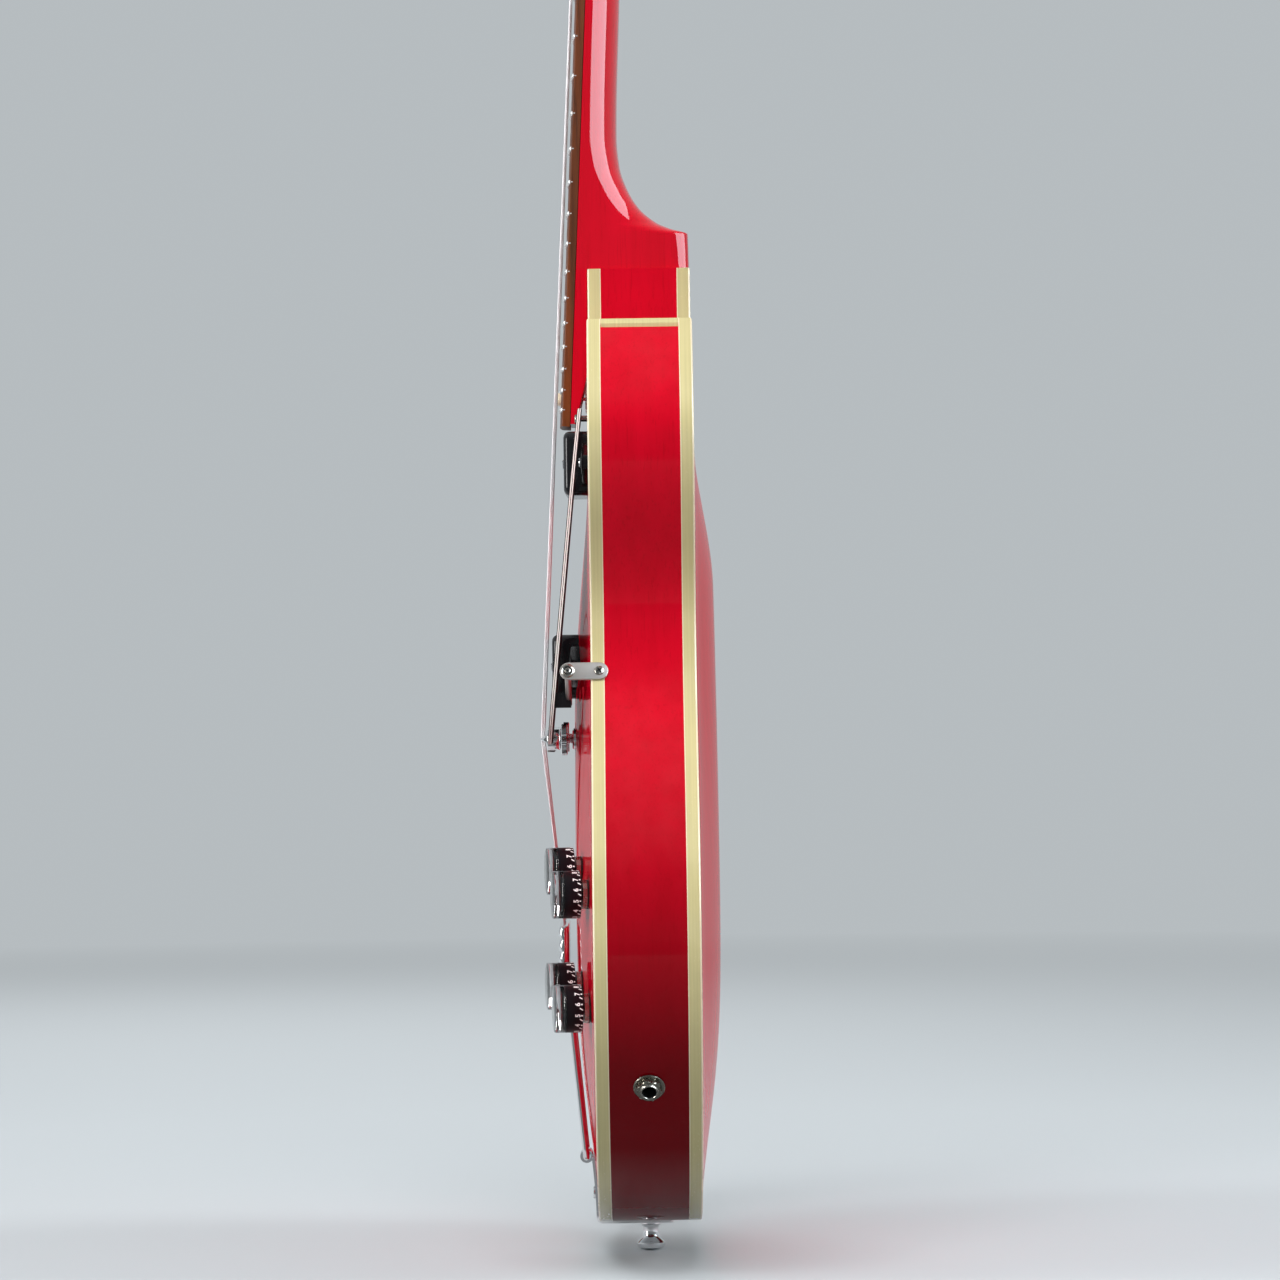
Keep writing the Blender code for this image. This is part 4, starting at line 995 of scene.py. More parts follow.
CORE = Finish("black_knob_core", Slot.BLACK.value, (0.006, 0.006, 0.008), roughness=0.38, relief=0.004,
              variety=0.3, gloss=0.25)
WHITE_PLY = Finish("white_ply", Slot.BLACK.value, (0.88, 0.87, 0.82), roughness=0.35, variety=0.08)
INK = Finish("white_ink", Slot.BLACK.value, (0.96, 0.96, 0.95), roughness=0.4, hairlines=0.02,
             variety=0.03)
ACRYLIC = Clear("clear_acrylic", Slot.BLACK.value, (0.98, 0.97, 0.97), roughness=0.02, smudges=0.02,
                hairlines=0.03, relief=0.003, variety=0.02)
DEEP_CHERRY = replace(CHERRY, name="cherry_neck_lacquer", coat=1.0)
# The sides' cherry carries painted shade towards the lower end.
SHADED_SIDE_CHERRY = replace(CHERRY, name="cherry_side_lacquer_painted_shade", burst=0.86)
BONE = Finish("bone", Slot.BONE.value, (0.78, 0.72, 0.58), smudges=0.08, hairlines=0.08, dust=0.02,
              relief=0.02, variety=0.16)
TIP = Finish("cream_tip", Slot.BONE.value, (0.74, 0.66, 0.46), roughness=0.2, smudges=0.06,
             variety=0.12, coat=0.3)
PEARL = Finish("pearl_button", Slot.BONE.value, (0.72, 0.72, 0.66), roughness=0.16, smudges=0.08,
               variety=0.35, coat=0.5)
# Near-black matt: the guard's black back ply, and painted shade in screw recesses, round pole screws, in a
# nut's hollow and down the socket's bore.
BLACK_PLY_AND_RECESS_SHADE = Finish("black_ply_and_painted_recess_shade", Slot.BLACK.value, (0.006, 0.006, 0.006), roughness=0.6, smudges=0.1,
              variety=0.3)
# Near-black metal for the saddle screws, and for the nuts under the knobs, where its darkness paints the shade
# under each knob.
DARK_SCREW_AND_NUT_SHADE = Plated("dark_screw_and_painted_nut_shade", Slot.NICKEL.value, (0.11, 0.105, 0.10), roughness=0.34,
                     metallic=1.0, smudges=0.1, hairlines=0.1, relief=0.005, aged=0.3)


# ---------------------------------------------------------------- the guitar's layout

@dataclass
class Layout:
    """The sizes that several sub-assemblies share, in millimetres.

    Attributes:
        length: The body's length.
        lower: X and z where the lower bout is widest.
        waist: X and z where the waist is narrowest.
        upper: X and z where the upper bout is widest.
        horn: X and z of the cutaway's point.
        dip: The z of the cutaway's lowest place.
        neck_side: Half the width of the body's end at the neck.
        half_depth: Half the depth at the edge.
        plate: How thick the plates are.
        top_arch: How far the top swells.
        back_arch: How far the back swells.
        arch_run: The way in from the edge over which both swell.
        top_fade: The way down from the dip over which the top starts to swell.
        back_fade: The same for the back.
        scale: The scale length.
        neck_tilt: How far the neck leans back.
        nut: Y and z of the middle of the board's face at the nut.
        nut_width: The board's width at the nut.
        board_end_width: Its width at its end.
        board: Its length and thickness.
        crown: The radius across its face.
        head_tilt: How far the headstock leans back from the neck.
        posts: How far up the headstock the posts stand.
        post_x: How far they stand from its middle.
        bridge_z: The z of the bridge.
        gauges: The strings' diameters, the lowest string first.
        spreads: The way between the outer strings at the nut and at the bridge.
        over_bridge: The y of a string's middle where it crosses the bridge, without the crown.
        bar_y: The y of the front and the back of the tailpiece's crossbar.
        bar_z: The z of its lower and its upper edge.
        pickups: Each pickup's name, the z of its middle and the y of its face.
        socket_z: The z of the output socket.
        outline: The body's outline from the front.
    """

    length: float = 503.0
    lower: tuple[float, float] = (203.0, 155.0)
    waist: tuple[float, float] = (121.0, 318.0)
    upper: tuple[float, float] = (147.0, 412.0)
    horn: tuple[float, float] = (112.0, 472.0)
    dip: float = 430.0
    neck_side: float = 30.0
    half_depth: float = 27.0
    plate: float = 4.0
    top_arch: float = 9.9
    back_arch: float = 11.6
    arch_run: float = 105.0
    top_fade: float = 164.0
    back_fade: float = 95.0
    scale: float = 628.65
    neck_tilt: float = math.radians(2.75)
    nut: tuple[float, float] = (-20.6, 880.9)
    nut_width: float = 43.0
    board_end_width: float = 57.0
    board: tuple[float, float] = (461.0, 5.5)
    crown: float = 305.0
    head_tilt: float = math.radians(14.0)
    posts: tuple[float, ...] = (44.0, 84.0, 124.0)
    post_x: float = 26.0
    bridge_z: float = 255.5
    gauges: tuple[float, ...] = (1.2, 0.95, 0.7, 0.45, 0.36, 0.3)
    spreads: tuple[float, float] = (36.0, 52.0)
    over_bridge: float = -54.9
    bar_y: tuple[float, float] = (-46.5, -41.0)
    bar_z: tuple[float, float] = (130.0, 157.7)
    pickups: tuple = (("neck", 400.31, -40.6), ("bridge", 293.7, -47.9))
    socket_z: float = 84.0
    outline: list = field(default_factory=list)

    def __post_init__(self) -> None:
        """Draw the outline once."""
        self.outline = self.draw_outline()

    def draw_outline(self) -> list[tuple]:
        """Draw the body from the front, from its lower end up the treble side and back.

        Returns:
            Points of x and z.
        """
        (low, lz), (waist, wz), (upper, uz) = self.lower, self.waist, self.upper
        hx, hz = self.horn
        side, end = self.neck_side, self.length
        sweep = (0.52 * low, 0.58 * lz)
        rise, lift = wz - lz, uz - wz
        points = bezier((0, 0), (sweep[0], 0), (low, lz - sweep[1]), (low, lz), 60)
        points += bezier((low, lz), (low, lz + 0.48 * rise), (waist, wz - 0.38 * rise), (waist, wz), 44)
        points += bezier((waist, wz), (waist, wz + 0.36 * lift), (upper, uz - 0.42 * lift), (upper, uz), 28)
        points += bezier((upper, uz), (upper, uz + 20), (hx + 16, hz - 18), (hx, hz), 22)
        points += bezier((hx, hz), (hx - 28, self.dip), (side, self.dip), (side, end), 40)
        points += [(side + (-2 * side) * k / 14, end) for k in range(14)]
        points += bezier((-side, end), (-0.64 * upper, end), (-upper, uz + 55), (-upper, uz), 38)
        points += bezier((-upper, uz), (-upper, uz - 0.42 * lift), (-waist, wz + 0.36 * lift), (-waist, wz), 28)
        points += bezier((-waist, wz), (-waist, wz - 0.38 * rise), (-low, lz + 0.48 * rise), (-low, lz), 44)
        points += bezier((-low, lz), (-low, lz - sweep[1]), (-sweep[0], 0), (0, 0), 60)
        return points

    def drawn_in(self, amount: float) -> list[Vector]:
        """Draw the outline in by an amount, less near the point of the horn.

        Args:
            amount: How far each side moves in.

        Returns:
            The moved points.
        """
        hx, hz = self.horn
        moved = []
        for i, (x, z) in enumerate(self.outline):
            here = Vector((x, z))
            before = (here - Vector(self.outline[i - 1])).normalized()
            after = (Vector(self.outline[(i + 1) % len(self.outline)]) - here).normalized()
            normal = Vector((-before.y - after.y, before.x + after.x)).normalized()
            room = max(0.35 * math.hypot(x - hx, z - hz), 2.8)
            step = min(amount, room) / max(normal.dot(Vector((-after.y, after.x))), 0.3)
            moved.append(here + normal * step)
        return moved

    def arches(self, places: np.ndarray) -> tuple[np.ndarray, np.ndarray]:
        """Find how high both plates swell over some places.

        Args:
            places: Rows of x and z.

        Returns:
            The y of the front face and of the back face.
        """
        edge = np.array(self.outline)
        first, second = np.roll(edge, 1, axis=0), edge
        along = second - first
        along /= np.maximum(np.linalg.norm(along, axis=1, keepdims=True), 1e-9)
        total = np.zeros(len(places))
        for start in range(0, len(places), 2000):
            here = places[start:start + 2000, None, :]
            a, b = first - here, second - here
            off = np.maximum(np.abs(a[..., 0] * along[:, 1] - a[..., 1] * along[:, 0]), 1e-3)
            ra = np.maximum(np.linalg.norm(a, axis=2), 1e-3)
            rb = np.maximum(np.linalg.norm(b, axis=2), 1e-3)
            reach = (b * along).sum(axis=2) / rb - (a * along).sum(axis=2) / ra
            total[start:start + 2000] = (reach / off ** 2).sum(axis=1)
        distance = np.sqrt(2 / np.maximum(total, 1e-9))

        def curve(value: np.ndarray) -> np.ndarray:
            """Return the S-curve of many values."""
            value = np.clip(value, 0, 1)
            return value * value * (3 - 2 * value)

        swell = curve(distance / self.arch_run)
        front = swell * curve((self.dip - places[:, 1]) / self.top_fade)
        back = swell * curve((self.dip - places[:, 1]) / self.back_fade)
        return (-self.half_depth - self.top_arch * front, self.half_depth + self.back_arch * back)

    def top_y(self, x: float, z: float) -> float:
        """Return the y of the top's front face at a place."""
        return float(self.arches(np.array([[x, z]], dtype=float))[0][0])

    def crown_y(self, z: float) -> float:
        """Return the y of the middle of the fingerboard's face at a height."""
        return self.nut[0] - (self.nut[1] - z) * math.tan(self.neck_tilt)

    def on_neck(self, x: float, out: float, along: float) -> Vector:
        """Place a point on the neck.

        Args:
            x: Where it lies across.
            out: Its height over the middle of the board's face.
            along: Its way from the nut.

        Returns:
            The point.
        """
        sine, cosine = math.sin(self.neck_tilt), math.cos(self.neck_tilt)
        return Vector((x, self.nut[0] - out * cosine - along * sine,
                       self.nut[1] + out * sine - along * cosine))

    def head_frame(self) -> tuple[Vector, Matrix]:
        """Find the headstock's face.

        Returns:
            Its place, and its rotation with x across, y up and z in front.
        """
        angle = self.neck_tilt + self.head_tilt
        up = Vector((0, math.sin(angle), math.cos(angle)))
        front = Vector((0, -math.cos(angle), math.sin(angle)))
        return (self.on_neck(0, -self.under_board(), -5.0),
                Matrix((Vector((1, 0, 0)), up, front)).transposed())

    def board_half(self, along: float) -> float:
        """Return half the fingerboard's width at a way from the nut."""
        share = along / self.board[0]
        return (self.nut_width + (self.board_end_width - self.nut_width) * share) / 2

    def drop(self, x: float) -> float:
        """Return how far the rounded fingerboard falls away from its middle."""
        return x * x / (2 * self.crown)

    def under_board(self) -> float:
        """Return how far the neck's flat front lies behind the board's face."""
        return self.board[1] + 0.3

    def fret_at(self, number: int) -> float:
        """Return how far a fret lies from the nut."""
        return self.scale * (1 - 2 ** (-number / 12))

    def string_x(self, number: int, at_nut: bool = False) -> float:
        """Return where a string lies across, at the bridge or at the nut, the lowest at the bass side."""
        spread = self.spreads[0 if at_nut else 1]
        return -spread / 2 + spread * number / (len(self.gauges) - 1)

    def side_at(self, z: float) -> tuple[float, Vector]:
        """Find the treble edge of the body at a height.

        Args:
            z: The height.

        Returns:
            Its x and its outward normal.
        """
        best = (0.0, Vector((1, 0, 0)))
        for i, here in enumerate(self.outline):
            before = self.outline[i - 1]
            if min(before[0], here[0]) <= 0 or not min(before[1], here[1]) <= z <= max(before[1], here[1]):
                continue
            share = (z - before[1]) / ((here[1] - before[1]) or 1)
            x = before[0] + (here[0] - before[0]) * share
            if x > best[0]:
                best = (x, Vector((here[1] - before[1], 0, before[0] - here[0])).normalized())
        return best


# ---------------------------------------------------------------- body

@dataclass
class Body:
    """Arched plates, bent sides and bindings.

    Attributes:
        plan: The shared layout.
        binding: How far the bindings reach down the sides, and how thick they are.
        edge_line: How wide the scraped line at their borders is.
        middle: X and z of the place that a plate's rings close on.
        rings: How many rings a plate has.
        wall: How thick the sides are.
        bore: The radius of the socket's hole.
        point_room: Two corners of the room cut for the strip at the point.
        point_low: How far that strip reaches down from the point.
        f_hole: X and z of places along the middle of an f-hole.
        f_widths: Half its width at each of them.
    """

    plan: Layout
    binding: tuple[float, float] = (7.0, 2.5)
    edge_line: float = 0.45
    middle: tuple[float, float] = (0.0, 210.0)
    rings: int = 54
    wall: float = 2.8
    bore: float = 5.0
    point_room: tuple = ((92.0, -19.9, 467.4), (132.0, 19.9, 481.0))
    point_low: float = 4.6
    f_hole: tuple = ((67.0, 280.0), (74.0, 288.0), (81.0, 277.0), (79.0, 255.0), (80.0, 225.0),
                     (83.0, 195.0), (86.0, 165.0), (84.0, 147.0), (91.0, 137.0), (98.0, 146.0))
    f_widths: tuple = (4.6, 3.6, 2.2, 2.6, 4.4, 4.4, 2.6, 2.2, 3.6, 4.6)

    def build(self) -> None:
        """Build every piece of the shell."""
        top = self.plate_shape(True).make("arched_top", [CHERRY, MAPLE], "guitar", "top_plate")
        self.open_top(top)
        self.plate_shape(False).make("arched_back", [CHERRY, MAPLE], "guitar", "back_plate")
        self.sides()
        for side, name, node in ((-1, "front_edge_binding", "front_binding"),
                                 (1, "back_edge_binding", "back_binding")):
            self.strip(side, name, node)
        self.point_strip()

    def plate_shape(self, front: bool) -> Shape:
        """Swell a plate over the whole outline.

        Args:
            front: True for the top, False for the back.

        Returns:
            The plate, its outer face dense and its inner face lighter.
        """
        plan = self.plan
        edge = np.array([tuple(p) for p in plan.drawn_in(self.binding[1] + 0.04)])
        centre = np.array(self.middle)
        shares = [1 - (k / self.rings) ** 0.92 for k in range(self.rings)]
        shape = Shape()

        def layer(steps: Sequence[float], lift: float, kind: int) -> Ring:
            """Add rings from the edge to the middle.

            Args:
                steps: The share of the way from the middle at each ring.
                lift: How far they lie behind the outer face.
                kind: The finish of the faces.

            Returns:
                The edge ring.
            """
            places = np.concatenate([centre + (edge - centre) * s for s in steps] + [centre[None]])
            ys = plan.arches(places)[0 if front else 1] + lift
            count = len(edge)
            loops = [shape.ring([(places[r * count + i][0], ys[r * count + i], places[r * count + i][1])
                                 for i in range(count)]) for r in range(len(steps))]
            middle = shape.ring([(centre[0], ys[-1], centre[1])])[0]
            for a, b in zip(loops, loops[1:]):
                shape.band(a, b, kind)
            for i in range(count):
                shape.face((loops[-1][i - 1], loops[-1][i], middle), kind)
            return loops[0]

        outer = layer(shares, 0.0, 0)
        inner = layer(shares[::6], plan.plate if front else -plan.plate, 1)
        shape.band(outer, inner, 1)
        return shape

    def open_top(self, top: bpy.types.Object) -> None:
        """Cut the two f-holes.

        Args:
            top: The arched top.
        """
        for side in (1, -1):
            middle = through([(x, z, w) for (x, z), w in zip(self.f_hole, self.f_widths)], 7)
            left, right = [], []
            for i, here in enumerate(middle):
                before, after = middle[max(i - 1, 0)], middle[min(i + 1, len(middle) - 1)]
                along = Vector((after.x - before.x, after.y - before.y)).normalized()
                across = Vector((-along.y, along.x)) * here.z
                left.append((side * (here.x + across.x), here.y + across.y))
                right.append((side * (here.x - across.x), here.y - across.y))
            ends = []
            for spot, other in ((middle[-1], middle[-2]), (middle[0], middle[1])):
                out = (Vector(spot[:2]) - Vector(other[:2])).normalized()
                start = math.atan2(out.y, out.x) + math.pi / 2
                ends.append([(side * (spot.x + spot.z * math.cos(start - math.pi * k / 10)),
                              spot.y + spot.z * math.sin(start - math.pi * k / 10)) for k in range(1, 10)])
            outline = [p for p in left + ends[0] + right[::-1] + ends[1] if all(
                math.hypot(p[0] - side * m.x, p[1] - m.y) > m.z * 0.985 for m in middle)]
            hole = Shape().loft([[(x, y, z) for x, z in outline] for y in (-60, 0)])
            carve(top, hole)

    def section_ring(self, amounts: Sequence[tuple[float, float]]) -> list[list[Vector]]:
        """Carry a section round the outline.

        Args:
            amounts: Its points, each an inset and a y.

        Returns:
            The section at every point of the outline.
        """
        lines = {a: self.plan.drawn_in(a) for a, _ in amounts}
        return [[Vector((lines[a][i].x, y, lines[a][i].y)) for a, y in amounts]
                for i in range(len(self.plan.outline))]

    def side_reach(self) -> float:
        """Return how far the sides reach from the middle, up to the bindings."""
        return self.plan.half_depth - self.binding[0] - 0.03

    def sides(self) -> None:
        """Bend the sides, with their linings inside, the socket's hole and the point's room."""
        deep = self.side_reach()
        ledge = self.plan.half_depth - self.plan.plate - 0.3
        half = [(0.0, deep), (self.wall, deep), (self.wall, ledge), (9.0, ledge), (9.0, ledge - 7),
                (self.wall, ledge - 12)]
        section = [(a, -y) for a, y in half] + [(a, y) for a, y in reversed(half)]
        inside = range(1, len(section) - 1)
        section += [(0.0, deep * k / 6) for k in range(5, -6, -1)]
        shape = Shape().hoop(self.section_ring(section), [int(k in inside) for k in range(len(section))])
        # The sides take the cherry with painted shade low down.
        sides = shape.make("bent_sides", [SHADED_SIDE_CHERRY, MAPLE], "guitar", "rim")
        x, normal = self.plan.side_at(self.plan.socket_z)
        carve(sides, Shape().turned(((0, -8), (self.bore, -8), (self.bore, 8), (0, 8)), 32,
                                    (x, 0, self.plan.socket_z), facing(normal)))
        carve(sides, Shape().block(*self.point_room))

    def strip(self, side: int, name: str, node: str) -> None:
        """Run one binding round an edge, rounded outside, with scraped lines at its borders and a painted
        highlight over the rounded rim.

        Args:
            side: -1 for the front, 1 for the back.
            name: The piece's name.
            node: The CAD node that it stands for.
        """
        wide, thick = self.binding
        half, line, r = self.plan.half_depth, self.edge_line, 0.9
        low = half - wide
        section = [(0.0, low), (0.0, low + line), (0.0, low + wide * 0.5), (0.0, half - r)]
        section += [(r * (1 - math.cos(a)), half - r + r * math.sin(a))
                    for a in (0.35, 0.7, 1.1, math.pi / 2)]
        section += [(thick - line, half), (thick, half), (thick, low)]
        # Kind 1 is the lighter cream: the scraped border lines, and a painted highlight across the rounded rim.
        kinds = [1, 0, 0, 1, 1, 1, 1, 0, 1, 0, 0]
        shape = Shape().hoop(self.section_ring([(a, side * y) for a, y in section]), kinds)
        shape.make(name, [CREAM, LIGHT_CREAM_EDGE_AND_HIGHLIGHT], "guitar", node, sharp=50)

    def point_strip(self) -> None:
        """Cross the sides with a strip of binding at the point of the horn."""
        plan = self.plan
        hx, hz = plan.horn
        low = hz - self.point_low
        outline = [(x, z) for x, z in plan.outline if z >= low and abs(x - hx) < 20]
        outline = [(outline[0][0] + 0.02, low), *outline, (outline[-1][0] - 0.02, low)]
        deep = self.side_reach()
        rows = [-deep + 2 * deep * k / 14 for k in range(15)]
        shape = Shape().loft([[(x, y, z + (0.9 * (1 - (y / deep) ** 2) - 0.9 if z < hz - 4 else 0))
                               for x, z in outline] for y in rows])
        shape.make("horn_point_strip", [CREAM], "guitar", "cutaway_binding", sharp=40)


# ---------------------------------------------------------------- neck

@dataclass
class Neck:
    """Neck with heel, tongue and headstock, its board, frets, markers and nut.

    Attributes:
        plan: The shared layout.
        frets: How many frets there are.
        fret: The height and the width of their crowns.
        back: Heights over the body's end, each with the y of the neck's back and its squareness.
        tongue: Shares of the tongue's length, each with the y of its underside.
        root: How far the neck runs on past the nut, and its half width, front and back there.
        head_thick: How thick the headstock is.
        head: Half of its outline.
        cover: Half of the rod cover's outline.
    """

    plan: Layout
    frets: int = 22
    fret: tuple[float, float] = (1.1, 2.2)
    back: tuple = ((373.0, 0.0, 2.1), (141.7, -8.3, 2.1), (71.0, -10.6, 2.2), (55.4, -9.2, 2.5),
                   (43.7, -5.4, 3.0), (33.0, 1.0, 3.5), (25.0, 10.5, 4.0), (21.3, 18.5, 6.0),
                   (18.5, 26.4, 9.0), (0.3, 26.8, 11.0))
    tongue: tuple = ((0.0, -20.0), (0.505, -24.0), (0.652, -27.0), (1.0, -34.0))
    root: tuple = (14.0, 17.0, 10.5, 19.0)
    head_thick: float = 14.0
    head: tuple = ((21.5, 0.0), (24.0, 10.0), (33.0, 27.0), (38.5, 40.0), (36.0, 95.0),
                   (37.5, 150.0), (29.0, 170.0), (12.0, 177.0))
    cover: tuple = ((5.0, 4.0), (9.5, 6.0), (9.0, 14.0), (5.5, 24.0), (4.2, 34.0), (2.0, 38.5), (0.0, 39.0))

    def build(self) -> None:
        """Build every piece of the neck."""
        self.shaft()
        self.tongue_piece()
        self.headstock()
        self.board()
        self.fret_row()
        self.markers()
        self.nut()
        self.rod_cover()

    def slice(self, z: float, front: float, back: float, half: float, square: float) -> list[Vector]:
        """Draw one level slice of the neck, flat in front and rounded behind.

        Args:
            z: Its height.
            front: The y of its flat front.
            back: The y of its round back.
            half: Half its width.
            square: 2 for an ellipse, and more for squarer shoulders.

        Returns:
            Its points.
        """
        ring = []
        steps = 40
        for k in range(steps + 1):
            angle = math.pi * k / steps
            across = math.copysign(abs(math.cos(angle)) ** (2 / square), math.cos(angle))
            deep = math.sin(angle) ** (2 / square) if 0 < k < steps else 0.0
            ring.append(Vector((half * across, front + (back - front) * deep, z)))
        return ring

    def shaft(self) -> None:
        """Carve the neck from the nut to the heel."""
        plan = self.plan
        under = plan.under_board()
        nut_z = plan.nut[1]
        up, half, front, back = self.root
        y = plan.crown_y(nut_z + up)
        rings = [self.slice(nut_z + up + 3, y + front + 0.6, y + back + 1.2, half, 2.1),
                 self.slice(nut_z + up, y + front, y + back, half, 2.1)]
        top = nut_z + 5 - plan.length
        backs = sorted((h, b) for h, b, _ in self.back) + [(top, 1.0)]
        squares = sorted((h, s) for h, _, s in self.back) + [(top, 2.1)]
        heights = [h for h in (top - 3.0 * k for k in range(100)) if h > 76]
        heights += [h for h in (76 - 1.2 * k for k in range(45)) if h > 22.5]
        heights += [22.5 - 0.55 * k for k in range(9)] + [17.2 - 2.4 * k for k in range(8)] + [0.15]
        for h in heights:
            z = plan.length + h
            rings.append(self.slice(z, plan.crown_y(z) + under, rise_through(backs, h),
                                    plan.board_half(nut_z - z), rise_through(squares, h)))
        Shape().loft(rings).make("neck_and_heel", [DEEP_CHERRY], "guitar", "neck", sharp=48)

    def tongue_piece(self) -> None:
        """Lay the neck's tongue over the top, under the end of the board."""
        plan = self.plan
        root = plan.length + 0.3
        end = plan.nut[1] - plan.board[0] * math.cos(plan.neck_tilt) + 1.07
        rings = []
        for k in range(31):
            share = k / 30
            z = root + (end - root) * share
            back = min(rise_through(self.tongue, share), -plan.half_depth - 0.02)
            half = plan.board_half(plan.nut[1] - z)
            front = plan.crown_y(z) + plan.under_board()
            back = max(back, front + 0.6)
            rings.append([Vector((x * half, y, z)) for x, y in (
                (1, front), (1, back - 0.4), (0.985, back), (-0.985, back), (-1, back - 0.4), (-1, front))])
        Shape().loft(rings).make("neck_tongue", [CHERRY], "guitar", sharp=40)

    def headstock(self) -> None:
        """Shape the headstock, with a rounded rim and the tuners' bores."""
        place, turn = self.plan.head_frame()
        half = through([*self.head, (0.0, 177.6)], 8)[:-1]
        outline = [(x, y) for x, y in half] + [(-x, y) for x, y in reversed(half)]
        outline = [p for i, p in enumerate(outline) if Vector(p) != Vector(outline[i - 1])]
        head = Shape().prism(outline, -self.head_thick, -0.9, place, turn, 1.2).make(
            "headstock_body", [CHERRY], "guitar", sharp=45)
        face = Shape().prism(inset(outline, 0.35), -0.88, 0.0, place, turn, 0.25).make(
            "headstock_face", [BLACK], "guitar", sharp=45)
        for side in (-1, 1):
            for up in self.plan.posts:
                bore = Shape().turned(((0, -20), (3.6, -20), (3.6, 6), (0, 6)), 24,
                                      place + turn @ Vector((side * self.plan.post_x, up, 0)), turn)
                carve(head, bore)
                carve(face, bore)

    def board(self) -> None:
        """Plane the fingerboard, crowned and with eased edges."""
        plan = self.plan
        long, thick = plan.board
        rings = []
        for k in range(49):
            along = long * k / 48
            half = plan.board_half(along)
            ring = [plan.on_neck(-half, -thick, along), plan.on_neck(half, -thick, along),
                    plan.on_neck(half, -plan.drop(half) - 0.5, along)]
            ring += [plan.on_neck(half * s, -plan.drop(half * s), along)
                     for s in (0.985, 0.85, 0.7, 0.5, 0.25, 0.0, -0.25, -0.5, -0.7, -0.85, -0.985)]
            ring.append(plan.on_neck(-half, -plan.drop(half) - 0.5, along))
            rings.append(ring)
        Shape().loft(rings).make("rosewood_board", [ROSEWOOD], "guitar", "fingerboard", sharp=30)

    def fret_row(self) -> None:
        """Seat the frets: crowns with bevelled ends, and their tangs in the board's edges."""
        plan = self.plan
        high, wide = self.fret
        shape = Shape()
        for number in range(1, self.frets + 1):
            along = plan.fret_at(number)
            half = plan.board_half(along)
            rings = []
            for share, size in ((-1.0, 0.25), (-0.985, 0.8), (-0.965, 1.0), (-0.7, 1.0), (-0.35, 1.0),
                                (0.0, 1.0), (0.35, 1.0), (0.7, 1.0), (0.965, 1.0), (0.985, 0.8), (1.0, 0.25)):
                x = half * share
                ring = []
                for a in range(9):
                    angle = math.pi * a / 8
                    ring.append(plan.on_neck(x, -plan.drop(x) + high * size * math.sin(angle),
                                             along - wide / 2 * math.cos(angle) * (0.6 + 0.4 * size)))
                rings.append(ring)
            shape.loft(rings)
            for side in (-1, 1):
                ends = (plan.on_neck(side * (half + 0.04), -plan.drop(half) - 1.3, along - 0.3),
                        plan.on_neck(side * (half - 0.3), -plan.drop(half) - 0.3, along + 0.3))
                shape.block([min(pair) for pair in zip(*ends)], [max(pair) for pair in zip(*ends)])
        shape.make("fret_wires", [FRET_WIRE], "guitar", sharp=40)

    def markers(self) -> None:
        """Inlay pearl dots in the board's face."""
        plan = self.plan
        shape = Shape()
        turn = facing(plan.on_neck(0, 1, 0) - plan.on_neck(0, 0, 0))
        for number in (3, 5, 7, 9, 12, 15, 17, 19, 21):
            along = (plan.fret_at(number - 1) + plan.fret_at(number)) / 2
            for x in ((-8.0, 8.0) if number == 12 else (0.0,)):
                shape.turned(((0, -0.5), (3.1, -0.5), (3.1, 0.05), (0, 0.05)), 28,
                             plan.on_neck(x, -plan.drop(x), along), turn)
        shape.make("dot_markers", [PEARL], "guitar", sharp=40)

    def nut(self) -> None:
        """Cut the nut, crowned, with a groove for each string."""
        plan = self.plan
        half = plan.nut_width / 2
        rings = []
        for along, low in ((0.0, 0.0), (-0.6, 0.0), (-4.2, 0.0), (-4.95, 0.5)):
            ring = [plan.on_neck(-half, -plan.board[1], along), plan.on_neck(half, -plan.board[1], along)]
            for k in range(87):
                x = half * (1 - 2 * k / 86)
                top = 1.5 - plan.drop(x) - low + 0.55
                groove = min(abs(x - plan.string_x(n, True)) for n in range(6))
                if groove < 0.75:
                    top -= 0.75 * (1 - (groove / 0.75) ** 2)
                ring.append(plan.on_neck(x, top, along))
            rings.append(ring)
        Shape().loft(rings).make("string_nut", [BONE], "guitar", "nut", sharp=40)

    def rod_cover(self) -> None:
        """Screw a bell-shaped cover over the truss rod's end."""
        place, turn = self.plan.head_frame()
        half = through(self.cover, 6)
        outline = [(x, y) for x, y in half] + [(-x, y) for x, y in reversed(half[:-1])]
        Shape().prism(outline, 0.05, 1.5, place, turn, 0.4).make("rod_cover", [BLACK], "guitar", sharp=40)
        screws = Shape()
        for y in (9.0, 34.0):
            screws.turned(((0, 1.5), (1.7, 1.5), (1.5, 2.1), (0.9, 2.35), (0, 2.4)), 20,
                          place + turn @ Vector((0, y, 0)), turn)
        screws.make("rod_cover_screws", [CHROME], "guitar", sharp=40)


# ---------------------------------------------------------------- strings

